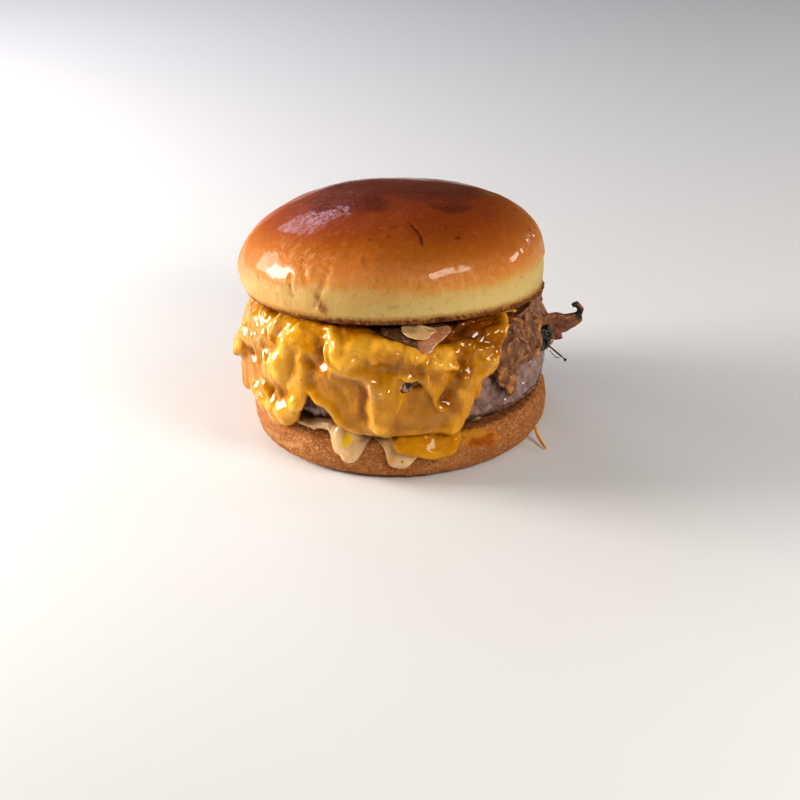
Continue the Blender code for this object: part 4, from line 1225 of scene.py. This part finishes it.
class MakeCheese(bpy.types.Operator):
    """Both slices of melted cheese and the thin string"""

    bl_idname = "burger.make_cheese"
    bl_label = "Cheese"

    def execute(self, context):
        look = context.scene.burger_cheese
        finish = cheese_finish(look)
        self.upper(look, finish)
        self.lower(look, finish)
        string = smoothly_divided("cheese_thread", "cheese_string", 2)
        painted(string, "height", np.full(len(string.data.vertices), 0.75))
        finished(string, finish, "cheese", "cheese_string")
        return {"FINISHED"}

    def upper(self, look, finish):
        """The melted top slice with its folds."""
        piece = evenly_meshed("upper_cheese", "cheese", 0.64, 16, 36.0)
        points, normals = corners(piece), facing(piece)
        away = points - (0, 0, CHEESE_CENTRE)
        away /= np.linalg.norm(away, axis=1)[:, None]
        outer = step(0.05, 0.45, share_along(normals, away)) * step(40, 46, radii(points))
        angles = azimuths(points)
        find = skin_finder("cheese")
        drawn = bent(bent(points, 1.5, 7, 61), 0.6, 2.8, 64)
        placed = look.folds * strokes_over(drawn, CHEESE_STROKES, find) * (1.4 + 0.7 * cloud(points, 5, 71))
        around_back = step(60, 95, np.abs(angles))
        wrinkled = 0.6 * around_back
        for azimuth, level, across, up in WRINKLED:
            wrinkled += blot(angles - azimuth, points[:, 2] - level, across, up)
        wrinkled = np.clip(wrinkled, 0, 1)
        folds = creased(drawn * (1, 1, 0.55), 8.5, 5) - 0.5
        small = creased(drawn * (1, 1, 0.6), 3.6, 15) - 0.5
        loose = (0.45 + 0.55 * wrinkled + 0.5 * around_back) * folds
        pulled = np.stack((angles, points[:, 2], radii(points)), 1) @ np.array(PULLED_DOWN)
        pulled = creased(pulled, 2.6, 33, 0.8) - 0.5
        left = bell(-58, 17, angles) * step(24, 30, points[:, 2])
        small = small * (1 - 0.7 * left) + 1.4 * pulled * left
        rise = placed + loose * (1 - 0.6 * left)
        rise += look.wrinkle / MM * (0.5 + 1.3 * wrinkled) * small
        points = points + normals * (rise * outer)[:, None]
        points[:, 2] = np.minimum(points[:, 2], np.where(radii(points) < 52, cut_level(points) - 0.25, 99))
        points[:, 2] -= 2.0 * bell(-19, 8, angles) * step(30, 23, points[:, 2])
        place(piece, points)
        relaxed(piece, 1)
        # Fold height, for the painted light on crests and painted shade in hollows.
        painted(piece, "height", np.clip(0.48 + 0.32 * rise, 0, 1))
        painted(piece, "wrinkled", wrinkled)
        # Pale thin cheese and painted sheen.
        painted(piece, "film", np.clip(strokes_over(drawn, CHEESE_THIN_AND_SHEEN, find), 0, 1))
        # Painted shade over the left wall, added to the drawn shade.
        left_shade = 0.6 * step(-32, -62, angles) * step(-150, -120, angles)
        painted(piece, "dusk", np.clip(left_shade + strokes_over(drawn, CHEESE_SHADE_AND_BROWN, find), 0, 1))
        opening = to_line(points, [find(*spot) for spot in WINDOW])
        painted(piece, "bare", step(2.9, 1.6, opening))
        finished(piece, finish, "cheese", "cheese")

    def lower(self, look, finish):
        """The slice on the patty, its corner hanging over the bun."""
        piece = evenly_meshed("lower_cheese", "under_cheese", 0.55, 14, 40.0)
        points, normals = corners(piece), facing(piece)
        outer = step(0.2, 0.6, share_along(normals, outward(points)))
        angles = azimuths(points)
        wave = 0.35 * cloud(points * (1, 1, 0.6), 6, 4) + 0.12 * cloud(points, 2.2, 9)
        hem = 0.5 * ridge(np.abs(points[:, 2] - 11.6), 1.3) * bell(11, 9, angles)
        place(piece, points + normals * ((wave + hem) * outer)[:, None])
        # Wave height, for the painted light on crests and painted shade in hollows.
        painted(piece, "height", np.clip(0.42 + 0.4 * wave + 0.5 * hem, 0, 1))
        painted(piece, "wrinkled", np.full(len(points), 0.25))
        painted(piece, "calm", np.full(len(points), 1.0))
        finished(piece, finish, "cheese", "under_cheese")


# ---- pork -----------------------------------------------------------------------------------------

# The burnt knot, stick and curl of the flap: (azimuth, radius, height) points
KNOT = (74.0, 53.0, 35.8)
STICK = ((76.0, 53.0, 32.5), (78.3, 59.2, 26.1))
STICK_HEAD, STICK_WIDTHS = (0.5, 0, -0.7), (0.3, 0.34, 0.75)  # the thick end's reach past the tip
# Loose burnt strands: (azimuth, radius, height) points
HAIRS = (
    ((74.0, 54.5, 31.0), (76.0, 56.5, 27.5), (79.0, 57.5, 26.0)),
    ((90.5, 60.0, 36.5), (92.0, 64.0, 34.5)),
    ((68.0, 53.5, 40.0), (66.0, 56.0, 42.5), (69.0, 58.0, 41.0)),
)
HAIR_WIDTH = 0.14
CURL = ((90.8, 64.5, 37.4), (89.5, 61.2, 41.5))
SHRED_LENGTH, SHRED_WIDTH, SHRED_FLATNESS = 9.0, 0.62, 0.7
SHRED_RINGS, SHRED_SIDES = 9, 6


def pork_finish(look):
    """Pulled pork: tan shreds, with painted shade between them, burnt at the tips."""
    finish = Finish("pork", roughness=0.46, coat_weight=0.3, coat_roughness=0.12, subsurface_weight=0.06,
                    subsurface_radius=(0.003, 0.0015, 0.001), subsurface_scale=0.6)
    base = finish.blend(finish.grain(4, 4, 0.6).between(0.3, 0.7), tint("a0622a"), look.pork)
    base = finish.blend(finish.grain(1.8, 4, 0.7, 0.8).between(0.48, 0.62) * 0.7, base, tint("e0a45e"))
    base = finish.blend(finish.grain(1.5, 4, 0.7, 0.8).between(0.45, 0.3) * 0.5, base, tint("7a4324"))
    # Painted shade in the hollows between the shreds.
    base = finish.blend(finish.kept("hollow").between(0.3, 0.85) * 0.85, base, look.pork_shade)
    red = finish.kept("red") + (finish.grain(2, 3) - 0.5) * 0.5
    patchy = finish.grain(2.6, 4, 0.7, 0.8).between(0.36, 0.64)
    smoked = finish.blend(patchy, tint("4a1a0c"), tint("9c5424"))
    base = finish.blend(red.between(0.3, 0.7) * 0.85, base, smoked)
    burnt = finish.kept("burnt") + (finish.grain(1.0, 3, 0.7) - 0.5) * 0.7
    base = finish.blend(burnt.between(0.35, 0.65), base, tint("120b09"))
    finish.set("Base Color", base)
    finish.set("Roughness", 0.34 + finish.grain(2.0, 3) * 0.3)
    finish.relief((finish.grain(1.4, 4, 0.7, 0.6), 0.8))
    return finish.material


def char_finish():
    """Charcoal with a slight shine."""
    finish = Finish("char", roughness=0.35, coat_weight=0.3, coat_roughness=0.2)
    finish.set("Base Color", finish.blend(finish.grain(1.5, 2), tint("0c0908"), tint("2a1a12")))
    return finish.material


def shred(seed):
    """One limp, tapered shred of meat, to be scattered."""
    rings = []
    for share in np.linspace(0, 1, SHRED_RINGS).tolist():
        width = (0.25 + 0.75 * math.sin(math.pi * min(share * 1.1 + 0.03, 1))) * SHRED_WIDTH
        sag = 0.7 * math.sin(share * math.pi) + 0.3 * math.sin(share * 7 + seed)
        middle = Vector(((share - 0.5) * SHRED_LENGTH, 1.1 * math.sin(share * 3 + seed), sag))
        rings.append([middle + Vector((0, math.cos(t), math.sin(t) * SHRED_FLATNESS)) * width
                      for t in full_turn(SHRED_SIDES)])
    return tube("shred", rings)


class MakePork(bpy.types.Operator):
    """The pulled pork with its loose shreds, burnt knot and stick"""

    bl_idname = "burger.make_pork"
    bl_label = "Pork"

    def execute(self, context):
        finish = pork_finish(context.scene.burger_meat)
        piece, to_knot = self.heap(finish)
        self.burnt(piece, to_knot)
        return {"FINISHED"}

    def heap(self, finish):
        """The heap of meat and its loose shreds; also how far each point is from the knot."""
        piece = evenly_meshed("pulled_pork", "pork", 0.5, 8, 38.0)
        points, normals = corners(piece), facing(piece)
        angles, level = azimuths(points), radii(points)
        bare = bell(74, 38, angles) * step(0.0, 0.4, share_along(normals, outward(points)))
        warped = bent(points, 1.5, 8, 41)
        slanted = warped @ np.array(((1, 0, 0), (0, 1, 0), (0.5, 0.2, 1.0)))
        fibre = creased(slanted, (1.5, 1.5, 5.0), 4)
        bundle = creased(slanted, (4.0, 4.0, 9.0), 14)
        clump = cells(bent(points, 1.6, 5, 47) * (1, 1, 0.75), 4.6)
        slender = step(54.5, 57.5, level)
        rise = 0.55 * (fibre - 0.55) + 0.8 * (bundle - 0.5) + 1.3 * (clump - 0.6)
        rise *= bare * (1 - 0.75 * slender)
        to_knot = np.linalg.norm(points - np.array(around(*KNOT)), axis=1)
        rise += 1.6 * step(4.5, 1.5, to_knot) * cloud(points, 1.6, 77)
        place(piece, points + normals * rise[:, None])
        crest = (0.5 + 0.5 * fibre) * (0.4 + 0.6 * bundle) * np.minimum(0.35 + clump, 1)
        # Painted shade: highest between the crests.
        painted(piece, "hollow", 1 - crest)
        to_stick = to_line(points, [around(*p) for p in STICK])
        to_curl = to_line(points, [around(*p) for p in CURL])
        burnt = np.maximum(step(4.2, 2.4, to_knot), step(2.0, 1.0, to_stick))
        burnt = np.maximum(burnt, step(2.4, 1.2, to_curl))
        painted(piece, "burnt", burnt)
        painted(piece, "red", step(53.5, 57, level) * 0.9)
        finished(piece, finish, "pork", "pork")
        where = bare * step(54.5, 53.5, level) * step(0.4, 0.2, burnt) * step(38, 46, level)
        where *= step(40, 44, angles) * step(112, 106, angles)
        shreds = scattered("pork_shreds", piece, where, shred(1), finish, "pork",
                           density=0.9e4, size=0.9, spread=0.4, sink=-0.45 * MM, lay=0.3, seed=3)
        # The loose shreds get half the painted shade.
        for name, value in (("hollow", 0.5), ("burnt", 0.0), ("red", 0.0)):
            painted(shreds, name, np.full(len(shreds.data.vertices), value))
        return piece, to_knot

    def burnt(self, piece, to_knot):
        """The burnt stick, the burnt strands and the bits on the knot."""
        char = char_finish()
        stem, tip = (around(*p) for p in STICK)
        finished(rod("burnt_stick", (stem, tip, tip + Vector(STICK_HEAD)), STICK_WIDTHS), char, "pork")
        for k, route in enumerate(HAIRS):
            hair = rod(f"burnt_strand_{k}", [around(*p) for p in route], [HAIR_WIDTH] * len(route))
            finished(hair, char, "pork")
        scattered("burnt_bits", piece, np.where(to_knot < 4.5, 1.0, 0.0), grit(0.6, 4), char, "pork",
                  density=9e5, size=1.7 * MM, spread=0.5, lay=1.2, seed=8)


# ---- ham ------------------------------------------------------------------------------------------


def ham_finish(look):
    """A thin cooked slice, darker on its left wing, partly browner and partly painted shade, and pinker on
    its right.
    """
    finish = Finish("ham", roughness=0.3, coat_weight=0.5, coat_roughness=0.1, subsurface_weight=0.3,
                    subsurface_radius=(0.003, 0.0015, 0.001), subsurface_scale=0.5)
    # The left wing's dark colour is partly painted shade.
    side = finish.kept("right") + (finish.grain(3, 3) - 0.5) * 0.4
    base = finish.blend(side.between(0.2, 0.8), tint("5e3820"), look.ham)
    fibre = finish.grain(1.3, 4, 0.65, 0.6, (1, 1, 3))
    base = finish.blend(fibre.between(0.5, 0.7) * 0.5, base, tint("e0b48c"))
    base = finish.blend(fibre.between(0.42, 0.28) * 0.5, base, tint("8f4f34"))
    base = finish.blend(finish.kept("edge") * 0.7, base, tint("e0b894"))
    finish.set("Base Color", base)
    finish.relief((fibre, 0.2))
    return finish.material


HAM_FACING = (0.1, -1.0, 0.5)  # the way the slice's broad side looks


class MakeHam(bpy.types.Operator):
    """The folded slice of ham"""

    bl_idname = "burger.make_ham"
    bl_label = "Ham"

    def execute(self, context):
        look = context.scene.burger_meat
        piece = evenly_meshed("ham_slice", "ham", 0.3, 8)
        points, normals = corners(piece), facing(piece)
        rise = 0.22 * cloud(points, 4, 2) + 0.1 * cloud(points, 1.4, 5)
        place(piece, points + normals * rise[:, None])
        right = step(5, 9, azimuths(points))
        painted(piece, "right", right)
        across = normals @ (normals.mean(0) + np.array(HAM_FACING))
        painted(piece, "edge", right * step(0.75, 0.35, np.abs(across)))
        finished(piece, ham_finish(look), "ham", "ham")
        return {"FINISHED"}


# ---- crumbs ---------------------------------------------------------------------------------------


def crumb_finish():
    """Loose toasted crumbs."""
    finish = Finish("crumbs", roughness=0.7)
    shade = finish.grain(2.4, 2, 0.7).between(0.35, 0.65)
    finish.set("Base Color", finish.blend(shade, tint("4a2410"), tint("b98445")))
    finish.relief((finish.grain(0.4, 2), 0.1))
    return finish.material


class MakeCrumbs(bpy.types.Operator):
    """Crumbs along the toasted edges of both halves of the bun"""

    bl_idname = "burger.make_crumbs"
    bl_label = "Crumbs"

    def execute(self, context):
        finish = crumb_finish()
        crown = bpy.data.objects["upper_bun"]
        points = corners(crown)
        _, height = crown_frame(points)
        edge = step(1.3, 0.6, height) * step(-0.97, -0.7, facing(crown)[:, 2])
        scattered("upper_crumbs", crown, edge, grit(0.8, 5), finish, "crust",
                  density=7e5, size=0.42 * MM, spread=0.6, seed=2)
        heel = bpy.data.objects["lower_bun"]
        points = corners(heel)
        side = step(2, 4, points[:, 2]) * (0.15 + step(11, 15, points[:, 2]))
        side *= step(15.75, 15.4, points[:, 2])
        scattered("lower_crumbs", heel, side, grit(0.5, 8), finish, "crumb",
                  density=9e4, size=0.45 * MM, spread=0.5, seed=4)
        return {"FINISHED"}


# ---- the stage ------------------------------------------------------------------------------------

LENS = 99.0
VIEW_ELEVATION = 26.8
VIEW_ROLL = 0.8
VIEW_DISTANCE = 790.0
AIM_SHIFT = (0.36, 4.31)  # how far the origin lies left of and below the middle of the view
FLOOR_REACH = 560
SKY_LIGHT, SKY_SEEN, SKY_COLOUR = 0.07, 0.8, (0.92, 0.95, 1.0, 1)
LAMP_AIM = 45  # the height that the lamps face
# Soft boxes: name, azimuth, elevation, distance, width, height, watts, colour
LAMPS = (
    ("left window", -103, 15, 620, 560, 250, 3.0, "fffaf2"),
    ("left lamp", -96, 17, 610, 260, 150, 3.3, "fffaf4"),
    ("back window", -155, 30, 700, 260, 240, 0.8, "d8dcff"),
    ("back glow", 132, 8, 700, 150, 60, 0.2, "f2f4ff"),
    ("right lamp", 46, 30, 640, 270, 150, 1.9, "fffaf4"),
    ("right bounce", 100, 14, 700, 150, 110, 0.65, "fffaf4"),
    ("front fill", -6, 42, 1500, 2200, 1200, 3.2, "fffdf8"),
)


class SetStage(bpy.types.Operator):
    """A pale floor, soft studio light and the camera"""

    bl_idname = "burger.set_stage"
    bl_label = "Stage"

    def execute(self, context):
        scene = context.scene
        self.floor()
        self.sky(scene)
        for lamp in LAMPS:
            self.lamp(scene, *lamp)
        self.camera(scene)
        scene.view_settings.view_transform = "Standard"
        scene.view_settings.look = "Medium High Contrast"
        return {"FINISHED"}

    def floor(self):
        """A plain pale floor, no larger than the views need."""
        mesh = bmesh.new()
        bmesh.ops.create_grid(mesh, x_segments=1, y_segments=1, size=FLOOR_REACH * MM)
        floor = raised("floor", mesh)
        paint = Finish("floor", roughness=0.8, base_color=(0.78, 0.775, 0.765, 1), specular_ior_level=0.1)
        floor.data.materials.append(paint.material)

    def sky(self, scene):
        """A pale surround that looks brighter than the light that it gives."""
        scene.world = bpy.data.worlds.new("studio")
        scene.world.use_nodes = True
        tree = scene.world.node_tree
        lit = tree.nodes["Background"]
        seen = tree.nodes.new("ShaderNodeBackground")
        for sky, strength in ((lit, SKY_LIGHT), (seen, SKY_SEEN)):
            sky.inputs["Color"].default_value = SKY_COLOUR
            sky.inputs["Strength"].default_value = strength
        rays, either = tree.nodes.new("ShaderNodeLightPath"), tree.nodes.new("ShaderNodeMixShader")
        tree.links.new(rays.outputs["Is Camera Ray"], either.inputs[0])
        tree.links.new(lit.outputs[0], either.inputs[1])
        tree.links.new(seen.outputs[0], either.inputs[2])
        tree.links.new(either.outputs[0], tree.nodes["World Output"].inputs["Surface"])

    def lamp(self, scene, name, azimuth, elevation, distance, width, height, watts, code):
        """A soft box that faces the burger."""
        data = bpy.data.lights.new(name, "AREA")
        data.shape, data.size, data.size_y = "RECTANGLE", width * MM, height * MM
        data.energy, data.color = watts, tint(code)
        lamp = bpy.data.objects.new(name, data)
        scene.collection.objects.link(lamp)
        turn = math.radians(elevation)
        away = around(azimuth, distance * math.cos(turn), distance * math.sin(turn))
        lamp.location = (Vector((0, 0, LAMP_AIM)) + away) * MM
        lamp.rotation_euler = (-away).to_track_quat("-Z", "Y").to_euler()

    def camera(self, scene):
        """The camera, looking down at the front."""
        data = bpy.data.cameras.new("camera")
        data.lens, data.sensor_width, data.clip_start = LENS, 36, 0.05
        camera = bpy.data.objects.new("camera", data)
        scene.collection.objects.link(camera)
        rise, roll = math.radians(VIEW_ELEVATION), math.radians(VIEW_ROLL)
        back = Vector((0, -math.cos(rise), math.sin(rise)))
        across, up = Vector((1, 0, 0)), back.cross(Vector((1, 0, 0)))
        right = across * math.cos(roll) - up * math.sin(roll)
        top = across * math.sin(roll) + up * math.cos(roll)
        spot = (back * VIEW_DISTANCE + right * AIM_SHIFT[0] + top * AIM_SHIFT[1]) * MM
        camera.matrix_world = Matrix((
            (right.x, top.x, back.x, spot.x), (right.y, top.y, back.y, spot.y),
            (right.z, top.z, back.z, spot.z), (0, 0, 0, 1)))
        scene.camera = camera


class BurgerPanel(bpy.types.Panel):
    """Lists the settings and pieces of the burger"""

    bl_idname = "VIEW3D_PT_burger"
    bl_label = "Burger"
    bl_space_type = "VIEW_3D"
    bl_region_type = "UI"
    bl_category = "Burger"

    def draw(self, context):
        for name, group in SETTINGS.items():
            box = self.layout.box()
            box.label(text=group.__doc__)
            for key in group.__annotations__:
                box.prop(getattr(context.scene, name), key)
        for operator in OPERATORS:
            self.layout.operator(operator.bl_idname)


OPERATORS = (SetStage, MakeHeel, MakeSauce, MakePatty, MakeCheese, MakePork, MakeHam, MakeCrown, MakeCrumbs)
CLASSES = (*SETTINGS.values(), *OPERATORS, BurgerPanel)


def register():
    for item in CLASSES:
        bpy.utils.register_class(item)
    for name, group in SETTINGS.items():
        setattr(bpy.types.Scene, name, bpy.props.PointerProperty(type=group))


def unregister():
    for name in SETTINGS:
        delattr(bpy.types.Scene, name)
    for item in reversed(CLASSES):
        bpy.utils.unregister_class(item)


def main():
    """Builds every piece."""
    register()
    for operator in OPERATORS:
        group, name = operator.bl_idname.split(".")
        getattr(getattr(bpy.ops, group), name)()


if __name__ == "__main__":
    main()
